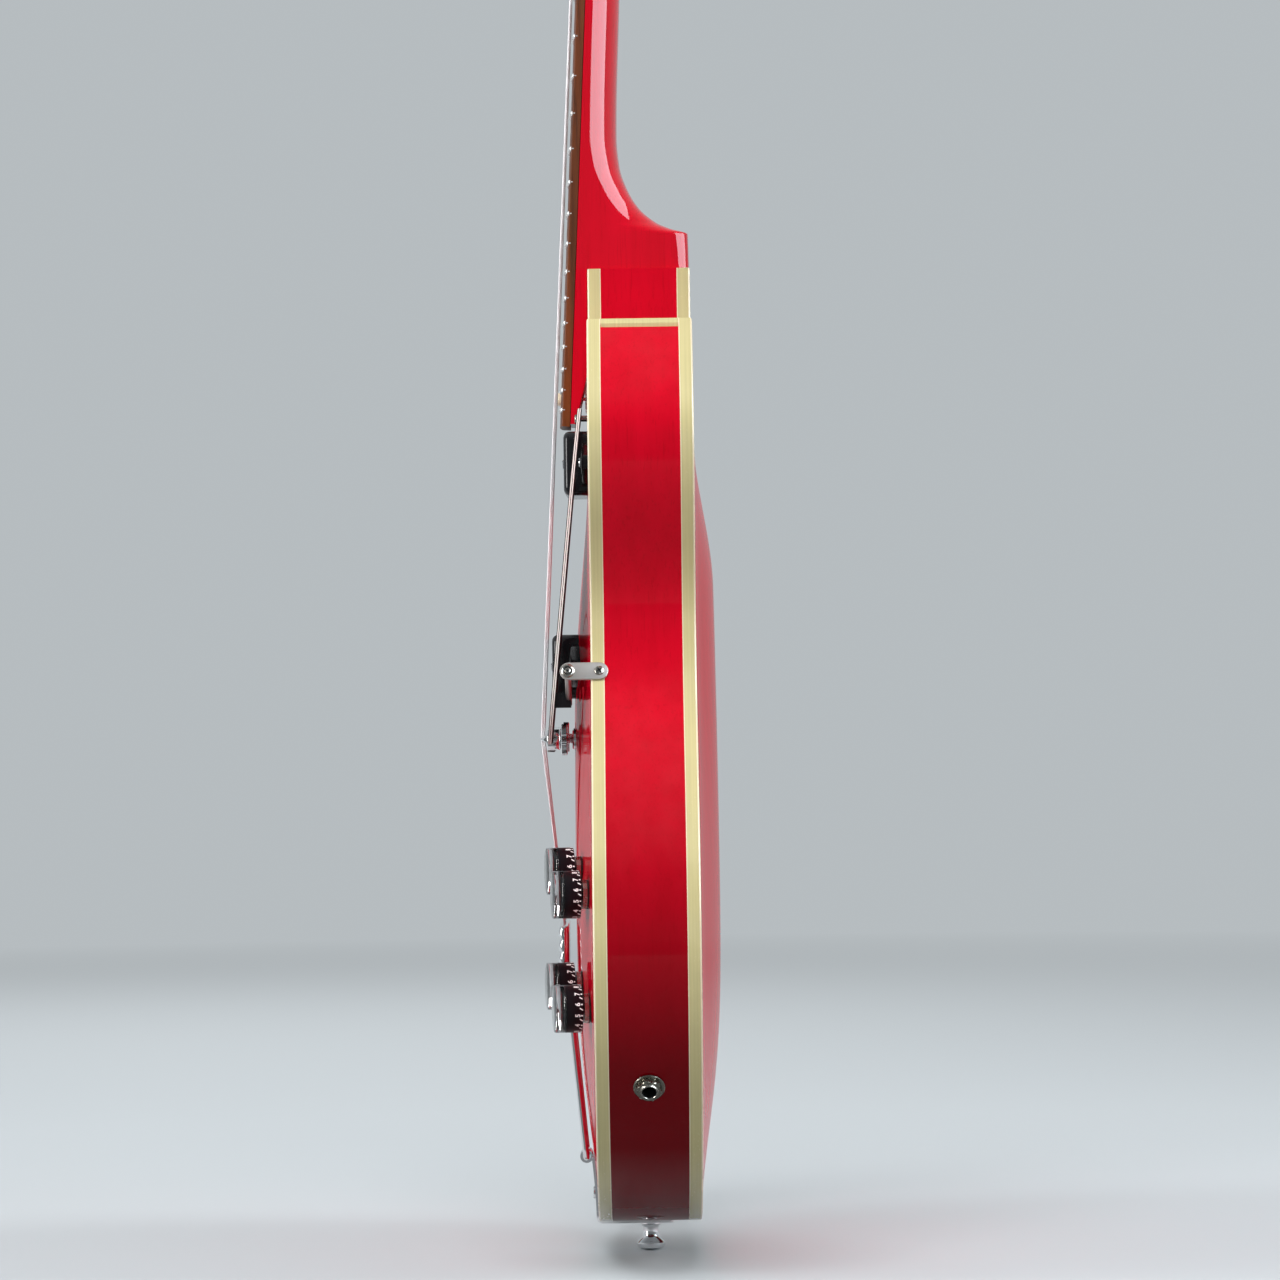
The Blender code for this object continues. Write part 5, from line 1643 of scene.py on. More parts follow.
@dataclass
class Strings:
    """Six strings from the posts over the nut and the saddles to the tailpiece.

    Attributes:
        plan: The shared layout.
        thinnest_wound: Strings over this diameter are wound.
        post_radius: The radius that a string is wound on.
        post_height: How high on the post its first turn lies.
        turns: How often it goes round.
    """

    plan: Layout
    thinnest_wound: float = 0.6
    post_radius: float = 3.0
    post_height: float = 6.4
    turns: float = 2.5

    def build(self) -> None:
        """String the guitar."""
        plan = self.plan
        place, turn = plan.head_frame()
        for number, gauge in enumerate(plan.gauges):
            radius = gauge / 2
            x, nx = plan.string_x(number), plan.string_x(number, True)
            side = -1 if number < 3 else 1
            up = plan.posts[number if number < 3 else 5 - number]
            wrap = self.post_radius + radius + 0.15
            crest = Vector((x, plan.over_bridge + plan.drop(x), plan.bridge_z))
            tail = Vector((x, sum(plan.bar_y) / 2, plan.bar_z[1] + 0.3))
            nut = plan.on_neck(nx, 1.5 - plan.drop(nx) + 0.3 + radius, -5.0)
            board_side = plan.on_neck(nx, 1.5 - plan.drop(nx) + 0.2 + radius, 1.5)
            inner = place + turn @ Vector((side * (plan.post_x - wrap), up - 2.0, self.post_height))
            low = (tail - crest).normalized()
            down = (board_side - crest).normalized()
            path = [tail, tail - low * 30, crest + low * 5.0, crest + low * 1.6 + Vector((0, 0.12, 0)),
                    crest + down * 1.6 + Vector((0, 0.03, 0)), crest + down * 5.0, board_side,
                    nut, nut + (inner - nut).normalized() * 3, inner]
            for k in range(int(16 * self.turns)):
                angle = math.pi * (1 if side > 0 else 0) - side * 2 * math.pi * k / 16
                path.append(place + turn @ Vector((side * plan.post_x + wrap * math.cos(angle),
                                                   up + wrap * math.sin(angle),
                                                   self.post_height - k * gauge / 16 * 0.9)))
            finish = WOUND if gauge > self.thinnest_wound else STEEL
            name = f"string_{6 - number}"
            Shape().tube(path, radius, 10).make(f"strung_{name}", [finish], "guitar", name, sharp=180)


# ---------------------------------------------------------------- hardware

FRONT = Matrix(((1, 0, 0), (0, 0, -1), (0, 1, 0)))


def six_sided(angle: float, _height: float) -> float:
    """Return the share of a nut's radius at an angle, full at its six corners."""
    return 0.93 + 0.07 * abs(math.cos(3 * angle))


def slotted_head(shape: Shape, at: Vector, turn: Matrix, radius: float, high: float,
                 kind: int = 0, angle: float = 0.4) -> None:
    """Add a domed screw head with one slot.

    Args:
        shape: The shape that takes it.
        at: The middle of its seat.
        turn: Its axes, local Z out of the seat.
        radius: The head's radius.
        high: The head's height.
        kind: Its finish.
        angle: Which way the slot runs.
    """
    shape.turned(((0, 0), (radius * 0.96, 0), (radius * 0.96, high * 0.35), (0, high * 0.35)), 24, at, turn,
                 kinds=[kind] * 3)
    gap = radius * 0.13
    spin = Matrix.Rotation(angle, 3, "Z")
    for sign in (1, -1):
        outline = []
        for k in range(15):
            a = math.asin(gap / radius) + (math.pi - 2 * math.asin(gap / radius)) * k / 14
            outline.append((radius * math.cos(a), radius * math.sin(a)))
        rings = []
        for size, level in ((1.0, 0.02), (1.0, high * 0.6), (0.9, high * 0.9), (0.62, high)):
            ring = []
            for x, y in outline:
                x, y = x * size, max(y * size, gap)
                ring.append(at + turn @ (spin @ Vector((x * sign, y * sign, level))))
            rings.append(ring)
        shape.loft(rings, kind)


def crossed_head(shape: Shape, at: Vector, turn: Matrix, radius: float, high: float,
                 kind: int = 0, dark: int = 1, angle: float = 0.5) -> None:
    """Add a domed screw head with a crossed recess.

    Args:
        shape: The shape that takes it.
        at: The middle of its seat.
        turn: Its axes, local Z out of the seat.
        radius: The head's radius.
        high: The head's height.
        kind: Its finish.
        dark: The finish down in the recess, painted shade.
        angle: Which way the cross lies.
    """
    arm, reach = radius * 0.14, radius * 0.58
    # The recess's floor and walls take the dark finish as painted shade.
    shape.turned(((0, high * 0.25), (reach * 1.15, high * 0.25)), 32, at, turn, kinds=[dark])

    def cross(a: float) -> float:
        """Find the edge of the recess.

        Args:
            a: The angle about the head.

        Returns:
            Its radius there.
        """
        best = 0.0
        for quarter in range(4):
            off = (a - quarter * math.pi / 2 + math.pi) % (2 * math.pi) - math.pi
            if abs(off) < math.pi / 2:
                best = max(best, min(reach / max(math.cos(off), 1e-3), arm / max(abs(math.sin(off)), 1e-3)))
        return min(best, reach)

    sides = 64
    rings = []
    spin = Matrix.Rotation(angle, 3, "Z")
    for size, level, crossed in ((0.7, high * 0.22, True), (1.0, high * 0.98, True), (0.80, high * 0.9, False),
                                 (0.95, high * 0.6, False), (1.0, high * 0.3, False), (1.0, 0.0, False)):
        ring = []
        for k in range(sides):
            a = 2 * math.pi * k / sides
            r = cross(a) * size if crossed else radius * size
            ring.append(at + turn @ (spin @ Vector((r * math.cos(a), r * math.sin(a), level))))
        rings.append(ring)
    shape.loft(rings, capped=False, kinds=[dark, kind, kind, kind, kind])


@dataclass
class Pickups:
    """Two rounded covers with screw ears and pole screws, each over its coil.

    Attributes:
        plan: The shared layout.
        half: Half the width and half the height of a cover.
        ear: How far the ears reach, half their width, and how far they stand out.
    """

    plan: Layout
    half: tuple[float, float] = (43.5, 16.9)
    ear: tuple[float, float, float] = (62.0, 12.0, 4.0)

    def build(self) -> None:
        """Build both pickups."""
        for name, z, front in self.plan.pickups:
            self.cover(name, z, front)
            self.poles(name, z, front)
            for side in (-1, 1):
                self.lug(name, z, side)
            dress_node(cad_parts[f"pickup_coil_{name}"], BLACK)

    def seated(self, outline: Sequence[Point], front: float, edge: float) -> Shape:
        """Raise an outline from the top's arch to a front face with a rounded rim.

        Args:
            outline: Points of x and z.
            front: The y of the front face.
            edge: The radius of its rim.

        Returns:
            The shape.
        """
        shape = Shape()
        foot = self.plan.arches(np.array([tuple(p[:2]) for p in outline]))[0]
        rings = [[Vector((p[0], y - 0.05, p[1])) for p, y in zip(outline, foot)]]
        for a in (0.0, 0.3, 0.6, 0.9, 1.2, math.pi / 2):
            amount = edge * (1 - math.cos(a))
            rings.append([Vector((p.x, front + edge * (1 - math.sin(a)), p.y))
                          for p in inset(outline, amount)])
        return shape.loft(rings)

    def cover(self, name: str, z: float, front: float) -> None:
        """Mould one cover, softly rounded in front.

        Args:
            name: Which pickup it is.
            z: Its middle.
            front: The y of its face.
        """
        outline = [(x, z + y) for x, y in round_rect(*self.half, 5.0)]
        self.seated(outline, front, 3.2).make(
            f"{name}_pickup_cover", [BLACK], "guitar", f"pickup_cover_{name}", sharp=40)

    def lug(self, name: str, z: float, side: int) -> None:
        """Mould one ear and screw it down.

        Args:
            name: Which pickup it is.
            z: The middle of the pickup.
            side: -1 for bass, 1 for treble.
        """
        reach, half, high = self.ear
        low = self.plan.top_y(self.half[0], z) - high
        corners = [(self.half[0] - 0.6, -half), (self.half[0] + 6, -half + 2.2), (reach - 3, -4.6),
                   (reach - 0.4, -2.2)]
        corners = [(x, z + y) for x, y in corners] + [(x, z - y) for x, y in reversed(corners)]
        outline = [(side * x, y) for x, y in through(corners, 5)]
        self.seated(outline, low, 1.2).make(
            f"{name}_pickup_ear_{'treble' if side > 0 else 'bass'}", [BLACK], "guitar", sharp=40)
        screw = Shape()
        slotted_head(screw, Vector((side * (reach - 6.5), low - 0.02, z)), FRONT, 2.6, 1.1)
        screw.make(f"{name}_ear_screw_{'treble' if side > 0 else 'bass'}", [CHROME], "guitar", sharp=40)

    def poles(self, name: str, z: float, front: float) -> None:
        """Set six slotted pole screws in the cover's face.

        Args:
            name: Which pickup it is.
            z: The middle of the pickup.
            front: The y of its face.
        """
        shape = Shape()
        for number in range(6):
            at = Vector((self.plan.string_x(number), front - 0.02, z))
            # A dark disc under each head paints the shade of its hole in the cover.
            shape.turned(((0, 0), (2.9, 0), (2.9, 0.15), (0, 0.15)), 24, at, FRONT, kinds=[1] * 3)
            slotted_head(shape, at + Vector((0, -0.1, 0)), FRONT, 2.4, 0.7, 0, 0.5 + number * 1.3)
        shape.make(f"{name}_pole_screws", [CHROME, BLACK_PLY_AND_RECESS_SHADE], "guitar", sharp=40)


@dataclass
class Guard:
    """The layered pickguard, its pin beside the board and its bracket on the side.

    Attributes:
        plan: The shared layout.
        tip: X and z of the guard's upper corner.
        curve: Places along its outer edge, by x and by the way down from the tip.
        near: The x of its inner edge below the notch.
        notch: How far down the notch beside the board reaches.
        plies: The front, the back and the finish of each layer.
        plate_z: The z of the bracket's plate.
        plate_y: The y of its two ends.
        plate_wide: Its width.
        arm: The y of the bracket's arm, its radius and how far it reaches in.
    """

    plan: Layout
    tip: tuple[float, float] = (31.0, 429.0)
    curve: tuple = ((44.0, 0.0), (76.0, 33.0), (92.0, 84.0), (99.0, 137.0), (96.0, 163.0), (84.0, 175.0))
    near: float = 48.5
    notch: float = 10.0
    plies: tuple = ((0.0, 0.35, BLACK), (0.35, 0.95, WHITE_PLY), (0.95, 1.3, BLACK), (1.3, 1.9, WHITE_PLY),
                    (1.9, 2.3, BLACK_PLY_AND_RECESS_SHADE))
    plate_z: float = 291.5
    plate_y: tuple[float, float] = (-42.8, -18.1)
    plate_wide: float = 9.2
    arm: tuple[float, float, float] = (-38.8, 1.6, 46.0)

    def face_y(self, z: float) -> float:
        """Return the y of the guard's front face at a height."""
        return -33.0 - (self.tip[1] - z) * 0.098

    def build(self) -> None:
        """Build the guard and what holds it."""
        tx, tz = self.tip
        edge = [(tx, tz), (tx + 0.6, tz)] + [(p.x, tz - p.y) for p in through(self.curve, 7)]
        low = tz - self.curve[-1][1]
        outline = edge + [(self.near, low), (self.near, tz - self.notch), (tx, tz - self.notch)]
        for number, (front, back, finish) in enumerate(self.plies, 1):
            rim = inset(outline, 0.0 if 1 < number < 5 else 0.25)
            rings = [[Vector((p.x, self.face_y(p.y) + d, p.y)) for p in rim] for d in (front, back)]
            node = ("pickguard",) if number == 1 else ()
            ply = Shape().loft(rings).make(f"pickguard_ply_{number}", [finish], "guitar", *node, sharp=40)
            for _, z, _ in self.plan.pickups:
                room = [(39.5, z - 13.5), (63.2, z - 4.5), (63.2, z + 4.5), (39.5, z + 13.5)]
                carve(ply, Shape().loft([[(x, y, rz) for x, rz in room] for y in (-70, 0)]))
        self.pin()
        self.side_plate()

    def pin(self) -> None:
        """Hold the guard's corner on a pin, with a screw in its face."""
        x, z = self.tip[0] + 4.5, self.tip[1] - 5.0
        face = self.face_y(z)
        end = -face - 2.3
        shape = Shape().turned(((0, 27.05), (2.2, 27.05), (2.2, 27.8), (1.6, 28.0), (1.6, end), (0, end)),
                               20, Vector((x, 0, z)), FRONT)
        crossed_head(shape, Vector((x, face - 0.02, z)), FRONT, 2.4, 1.1, 0, 1)
        shape.make("guard_pin", [NICKEL, BLACK_PLY_AND_RECESS_SHADE], "guitar", sharp=40)

    def side_plate(self) -> None:
        """Screw the bracket's plate to the side, with its arm and pad under the guard."""
        x, normal = self.plan.side_at(self.plate_z)
        turn = Matrix((Vector((normal.z, 0, -normal.x)), Vector((0, 1, 0)), normal)).transposed()
        at = Vector((x, 0, self.plate_z))
        radius = self.plate_wide / 2
        front, back = self.plate_y
        mid, long = (front + back) / 2, (back - front) / 2 - radius
        outline = [(y, mid + a) for a, y in slot_ended(long, radius, 16)]
        shape = Shape().prism(outline, 0.08, 1.5, at, turn, 0.28)
        crossed_head(shape, at + turn @ Vector((0, back - radius, 1.48)), turn, 2.5, 1.0, 1, 2, 0.55)
        post = at + turn @ Vector((0, self.arm[0], 0))
        # The hollow in the round nut's face takes the dark finish as painted shade.
        shape.turned(((0, 1.45), (3.7, 1.45), (3.7, 2.0), (3.4, 2.5), (2.7, 2.8), (2.3, 2.5), (1.9, 1.9),
                      (0, 1.8)), 36, post, turn, kinds=[1, 1, 1, 1, 1, 2, 2])
        crossed_head(shape, post + turn @ Vector((0, 0, 1.8)), turn, 1.7, 0.7, 1, 2, 0.2)
        shape.tube([post + turn @ Vector((0, 0, up)) for up in (-self.arm[2], 0.4)], self.arm[1], 20)
        pad = post - normal * (self.arm[2] - 6)
        lead = self.face_y(pad.z - 4) + 2.45
        shape.block((pad.x - 4, lead, pad.z - 4), (pad.x + 4, self.arm[0] + 1.2, pad.z + 4), 3)
        shape.make("guard_bracket", [SATIN, NICKEL, BLACK_PLY_AND_RECESS_SHADE, BLACK], "guitar", "pickguard_bracket", sharp=40)


@dataclass
class Bridge:
    """Bridge body with saddles and screws, on two posts with thumbwheels.

    Attributes:
        plan: The shared layout.
        half: Half the bridge's length and half its width.
        depth: The y of its front and its back.
        stud_x: How far the posts stand from the middle.
        wheel: The radius and the thickness of a thumbwheel.
    """

    plan: Layout
    half: tuple[float, float] = (43.0, 5.5)
    depth: tuple[float, float] = (-51.3, -44.1)
    stud_x: float = 37.5
    wheel: tuple[float, float] = (8.0, 3.4)

    def build(self) -> None:
        """Build the bridge."""
        z = self.plan.bridge_z
        front, back = self.depth
        outline = [(x, z + y) for x, y in slot_ended(self.half[0] - self.half[1], self.half[1], 14)]
        body = Shape().prism(outline, -back, -front, (0, 0, 0), FRONT, 0.9).make(
            "bridge_frame", [CHROME], "bridge_body", "bridge_body", sharp=40)
        carve(body, Shape().block((-33.5, -60, z - 4.0), (33.5, -47.0, z + 4.0)))
        for side in (-1, 1):
            carve(body, Shape().turned(((0, 40), (2.5, 40), (2.5, 60), (0, 60)), 24,
                                       (side * self.stud_x, 0, z), FRONT))
        for number in range(6):
            self.saddle(number)
        self.posts()

    def saddle(self, number: int) -> None:
        """Cut one saddle with its string's groove, and set its screw.

        Args:
            number: Its place from the bass side, from 0.
        """
        plan = self.plan
        z = plan.bridge_z
        x = plan.string_x(number)
        crest = plan.over_bridge + plan.drop(x) + plan.gauges[number] / 2 + 0.08
        profile = [(-47.25, -1.5), (crest + 1.5, -1.5), (crest + 0.35, -0.75), (crest, -0.3), (crest, 0.3),
                   (crest + 1.5, 1.5), (-47.25, 1.5)]
        rings = []
        half = (0.0, 0.2, 0.4, 0.55, 0.9, 1.7, 2.6, 3.3, 4.0)
        for dx in [-d for d in half[:0:-1]] + list(half):
            wall = 0.35 * min(1.0, (dx / 0.55) ** 2)
            ease = 0.9 * max(0.0, abs(dx) - 2.6) / 1.4
            rings.append([Vector((x + dx, y + (ease - wall if y < -48 else 0), z + dz)) for y, dz in profile])
        name = f"saddle_{6 - number}"
        Shape().loft(rings).make(f"bridge_{name}", [CHROME], name, name, sharp=30)
        screw = Shape().turned(((0, -6.6), (1.9, -6.6), (1.9, -5.9), (1.4, -5.6), (1.4, -4.1), (1.1, -4.1),
                                (1.1, 3.9), (0, 3.9)), 16, (x, -49.2, z))
        screw.make(f"saddle_screw_{6 - number}", [DARK_SCREW_AND_NUT_SHADE], "bridge_body", sharp=35)

    def posts(self) -> None:
        """Thread both posts and knurl their wheels; press bushings in the top."""
        z = self.plan.bridge_z
        radius, thick = self.wheel
        lead = -self.depth[1] - 0.3
        for side, name in ((-1, "bass"), (1, "treble")):
            top = -self.plan.top_y(side * self.stud_x, z)
            threads = []
            level = top - 6
            while level < lead - thick - 0.4:
                threads += [(2.1, level), (1.75, level + 0.4)]
                level += 0.8
            profile = [(0, -20), (2.1, -20), *threads, (2.1, lead - thick), (radius - 0.5, lead - thick),
                       (radius, lead - thick + 0.4), (radius, lead - 0.4), (radius - 0.5, lead),
                       (2.1, lead), (2.1, 48.7), (1.6, 49.3), (0, 49.3)]

            def knurl(angle: float, height: float) -> float:
                """Wave the wheel's rim."""
                return 1.0 + (0.018 * math.cos(48 * angle) if lead - thick + 0.2 < height < lead - 0.2 else 0.0)

            Shape().turned(profile, 192, (side * self.stud_x, 0, z), FRONT, wave=knurl).make(
                f"{name}_post_and_wheel", [CHROME], f"bridge_stud_{name}", f"bridge_stud_{name}", sharp=30)
            bushing = ((2.5, -3), (5.8, -3), (5.8, 0.9), (5.2, 1.5), (2.8, 1.5), (2.5, 1.2), (2.5, -3))
            Shape().turned([(r, top + up) for r, up in bushing], 40, (side * self.stud_x, 0, z), FRONT).make(
                f"{name}_post_bushing", [CHROME], "guitar", sharp=35)


@dataclass
class Tailpiece:
    """Trapeze with its crossbar, hinged in the bracket that bends over the end.

    Attributes:
        plan: The shared layout.
        hinge_z: The z of the hinge.
        rod: The radius of the frame's rod.
        bar_half: Half the crossbar's length.
        ridges: How many ridges run along it.
        ridge: How high they are.
    """

    plan: Layout
    hinge_z: float = 34.0
    rod: float = 1.7
    bar_half: float = 36.0
    ridges: int = 4
    ridge: float = 1.5

    def build(self) -> None:
        """Build the tailpiece."""
        plan = self.plan
        hz = self.hinge_z
        hinge_y = plan.top_y(0, hz) - 0.3 - 1.5 - (self.rod + 0.3 + 1.5 - 1.1)
        bar_y, bar_z = sum(plan.bar_y) / 2, sum(plan.bar_z) / 2
        right = [Vector((15, hinge_y, hz)), Vector((16.8, hinge_y - 0.1, hz + 0.9)),
                 Vector((18.0, hinge_y - 0.4, hz + 4))]
        right += [right[-1].lerp(Vector((31, bar_y, bar_z)), t) for t in (0.06, 0.35, 0.7, 1.0)]
        path = [Vector((-p.x, p.y, p.z)) for p in reversed(right)] + [Vector((0, hinge_y, hz))] + right
        shape = Shape().tube(through(path, 6), self.rod, 18)
        half_x, (low, high), (front, back) = self.bar_half, plan.bar_z, plan.bar_y
        rings = []
        profile = []
        for k in range(33):
            swell = abs(math.sin(math.pi * self.ridges * k / 32)) ** 0.6
            profile.append((front + self.ridge * (1 - swell), high - (high - low) * k / 32))
        profile += [(back - 0.6, low), (back, low + 0.8), (back, high - 0.8), (back - 0.6, high)]
        for x, size in ((-half_x, 0.25), (-half_x + 0.3, 0.52), (-half_x + 0.8, 0.74), (-half_x + 1.6, 0.9),
                        (-half_x + 2.6, 0.98), (-half_x + 3.6, 1.0)):
            rings.append([Vector((x, bar_y + (y - bar_y) * size, bar_z + (z - bar_z) * (0.82 + size * 0.18)))
                          for y, z in profile])
        rings += [[Vector((-p.x, p.y, p.z)) for p in ring] for ring in reversed(rings)]
        shape.loft(rings)
        shape.make("tailpiece_trapeze", [CHROME], "tailpiece_frame", "tailpiece_frame", sharp=32)
        balls = Shape()
        for number in range(6):
            balls.turned(((0.8, -1.7), (1.7, -1.7), (2.0, -1.3), (1.7, -0.6), (1.7, 0.6), (2.0, 1.3),
                          (1.7, 1.7), (0.8, 1.7), (0.8, -1.7)), 24,
                         (plan.string_x(number), bar_y, low - 2.1), facing((1, 0, 0)))
        balls.make("string_ball_ends", [FRET_WIRE], "tailpiece_frame", sharp=35)
        self.bracket(hinge_y)
        self.button()

    def bracket(self, hinge_y: float) -> None:
        """Bend the bracket over the end of the body and roll its knuckle.

        Args:
            hinge_y: The y of the hinge.
        """
        hz = self.hinge_z
        plan = self.plan
        rest = [(plan.top_y(0, hz * s) - 0.12, hz * s) for s in (1.0, 0.8, 0.6, 0.4, 0.25)]
        rest += [(-27.12, 3.0), (-27.12, 1.4), (-26.7, 0.3), (-25.6, -0.12), (-10, -0.12), (11.0, -0.12),
                 (12, -0.3)]
        line = [Vector((0, y, z)) for y, z in rest]
        rings = []
        for i, here in enumerate(line):
            before, after = line[max(i - 1, 0)], line[min(i + 1, len(line) - 1)]
            along = (after - before).normalized()
            out = Vector((0, along.z, -along.y)) * 1.5
            wide = 11.0 if i < len(line) - 1 else 9.5
            rings.append([here + Vector((-wide, 0, 0)), here + Vector((wide, 0, 0)),
                          here + out + Vector((wide - 0.4, 0, 0)), here + out + Vector((-wide + 0.4, 0, 0))])
        shape = Shape().loft(rings)
        shape.turned(((2.05, -10.5), (3.4, -10.5), (3.5, -10.3), (3.5, 10.3), (3.4, 10.5), (2.05, 10.5),
                      (2.05, -10.5)), 40, (0, hinge_y, hz), facing((1, 0, 0)))
        for x in (-6.5, 6.5):
            slotted_head(shape, Vector((x, plan.top_y(0, 14.0) - 1.6, 14.0)), FRONT, 2.6, 1.2, 0, 0.8 * x)
        shape.make("tailpiece_hinge_bracket", [CHROME], "guitar", "tailpiece_bracket", sharp=35)

    def button(self) -> None:
        """Turn the strap button under the bracket."""
        profile = [(0, -24), (1.2, -23), (2.0, -20), (2.0, 0), (6.0, 0), (6.0, 0.6)]
        profile += [(4.0 + 2.0 * (1 - math.sin(a)), 0.6 + 3.4 * (1 - math.cos(a)))
                    for a in (0.4, 0.8, 1.2, 1.57)]
        profile += [(4.0, 7.0), (5.0, 8.6), (6.6, 9.9), (7.5, 10.8), (7.5, 12.3), (6.9, 13.3), (5.5, 13.9),
                    (3.2, 14.0), (2.9, 13.2), (0, 13.2)]
        Shape().turned(profile, 56, (0, 0, -2.1), facing((0, 0, -1))).make(
            "end_strap_button", [CHROME], "guitar", "strap_button", sharp=35)


@dataclass
class Controls:
    """Knobs with clear caps and plain numbers, the switch and the output socket.

    Attributes:
        plan: The shared layout.
        radius: The radius of a knob.
        heights: The heights of its foot, of the core's shoulder and of the cap's top.
        skirt: The height of the skirt's upper edge.
        wall: How thick the clear cap is.
        tilt: How far the knobs lean out to the sides.
        places: Each knob's name, x and z, and the number that faces the treble side.
        switch_place: X and z of the switch.
    """

    plan: Layout
    radius: float = 12.0
    heights: tuple[float, float, float] = (4.3, 14.4, 18.2)
    skirt: float = 12.6
    wall: float = 0.7
    tilt: float = math.radians(6.0)
    places: tuple = (("volume_neck", 118.0, 189.8, 5.5), ("volume_bridge", 118.0, 131.1, 5.5),
                     ("tone_neck", 160.0, 179.6, 5.5), ("tone_bridge", 160.0, 122.2, 5.5))
    switch_place: tuple[float, float] = (-100.0, 440.0)

    def build(self) -> None:
        """Build every control."""
        for name, x, z, shown in self.places:
            self.knob(name, x, z, shown)
        self.switch()
        self.socket()

    def knob(self, name: str, x: float, z: float, shown: float) -> None:
        """Build one knob over its bushing nut.

        Args:
            name: Which control it is.
            x: Where it stands across.
            z: Where it stands along.
            shown: The number that faces the treble side.
        """
        at = Vector((x, self.plan.top_y(x, z), z))
        out = Vector((math.sin(self.tilt), -math.cos(self.tilt), 0))
        across = Vector((math.cos(self.tilt), math.sin(self.tilt), 0))
        turn = Matrix((across, Vector((0, 0, 1)), out)).transposed()
        body = f"knob_{name}"
        low, shoulder, top = self.heights
        r, wall, skirt = self.radius, self.wall, self.skirt
        core = [(0, -8), (3.0, -8), (3.0, low + 0.3), (r - 0.6, low), (r - 0.1, low + 0.1), (r, low + 0.3),
                (r, skirt), (r - wall, skirt + 0.15), (r - wall, shoulder - 1.4),
                (r - wall - 0.4, shoulder - 0.5), (r - wall - 1.3, shoulder), (6.0, shoulder + 0.35),
                (0, shoulder + 0.6)]
        Shape().turned(core, 72, at, turn).make(f"{name}_knob", [CORE], body, body, sharp=35)
        c = r - wall + 0.06
        cap = [(r - 0.02, skirt + 0.2), (r, skirt + 0.4), (r, top - 0.7), (r - 0.25, top - 0.2),
               (r - 0.8, top), (0, top)]
        inner = [(0, shoulder + 0.75), (6.0, shoulder + 0.5), (r - wall - 1.25, shoulder + 0.12),
                 (r - wall - 0.35, shoulder - 0.4), (c, shoulder - 1.3), (c, skirt + 0.3),
                 (r - 0.02, skirt + 0.2)]
        Shape().turned(cap + inner, 72, at, turn).make(f"{name}_knob_cap", [ACRYLIC], body, sharp=35)
        self.numbers(name, at, turn, shown, body)
        # The nut takes the near-black metal as painted shade under the knob.
        nut = Shape().turned(((3.3, 0.05), (7.4, 0.05), (7.4, 0.9), (7.0, 1.1), (3.3, 1.1), (3.3, 0.05)),
                             40, at, turn)
        nut.turned(((3.3, 1.15), (6.4, 1.15), (6.4, 2.9), (5.9, 3.2), (3.3, 3.2), (3.3, 1.15)),
                   48, at, turn, wave=six_sided)
        nut.make(f"{name}_bushing_nut", [DARK_SCREW_AND_NUT_SHADE], "guitar", sharp=30)
        dress_node(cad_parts[f"potentiometer_{name}"], NICKEL)

    def numbers(self, name: str, at: Vector, turn: Matrix, shown: float, body: str) -> None:
        """Print the numbers 0 to 10 and their ticks round the skirt.

        Args:
            name: Which control it is.
            at: The knob's foot.
            turn: The knob's axes.
            shown: The number that faces the treble side.
            body: The body that the knob turns with.
        """
        shape = Shape()
        r = self.radius + 0.03
        step = math.radians(27.0)
        low = self.heights[0] + 0.35

        def wrap(flat_x: float, up: float, lift: float, middle: float) -> Vector:
            """Bend a flat point round the skirt.

            Args:
                flat_x: Its place along the skirt.
                up: Its height.
                lift: How far it stands off the skirt.
                middle: The angle of the number's middle.

            Returns:
                The point.
            """
            a = middle + flat_x / r
            return at + turn @ Vector(((r + lift) * math.cos(a), (r + lift) * math.sin(a), up))

        for half in range(21):
            value = half / 2
            middle = (value - shown) * step
            if half % 2:
                wide, long, slant = 0.30, 1.5, 0.9
            else:
                wide, long, slant = 0.34, 0.8, 0.0
            outline = [(-wide, 0), (wide, 0), (wide + slant, long), (-wide + slant, long)]
            shape.loft([[wrap(px, low + py, lift, middle) for px, py in outline] for lift in (0, 0.06)])
            if half % 2:
                continue
            text = bpy.data.curves.new("number", "FONT")
            text.body = str(int(value))
            text.size = 3.5
            text.align_x = "CENTER"
            text.offset = 0.09
            text.extrude = 0.03
            text.resolution_u = 4
            letter = bpy.data.objects.new("number", text)
            bpy.context.scene.collection.objects.link(letter)
            seen = letter.evaluated_get(bpy.context.evaluated_depsgraph_get())
            flat = bpy.data.meshes.new_from_object(seen)
            ends = shape.ring([wrap(v.co.x, low + 1.35 + v.co.y, 0.03 + v.co.z, middle)
                               for v in flat.vertices])
            for polygon in flat.polygons:
                shape.face([ends[v] for v in polygon.vertices])
            bpy.data.objects.remove(letter, do_unlink=True)
            bpy.data.meshes.remove(flat)
            bpy.data.curves.remove(text)
        shape.make(f"{name}_numbers", [INK], body, sharp=40)

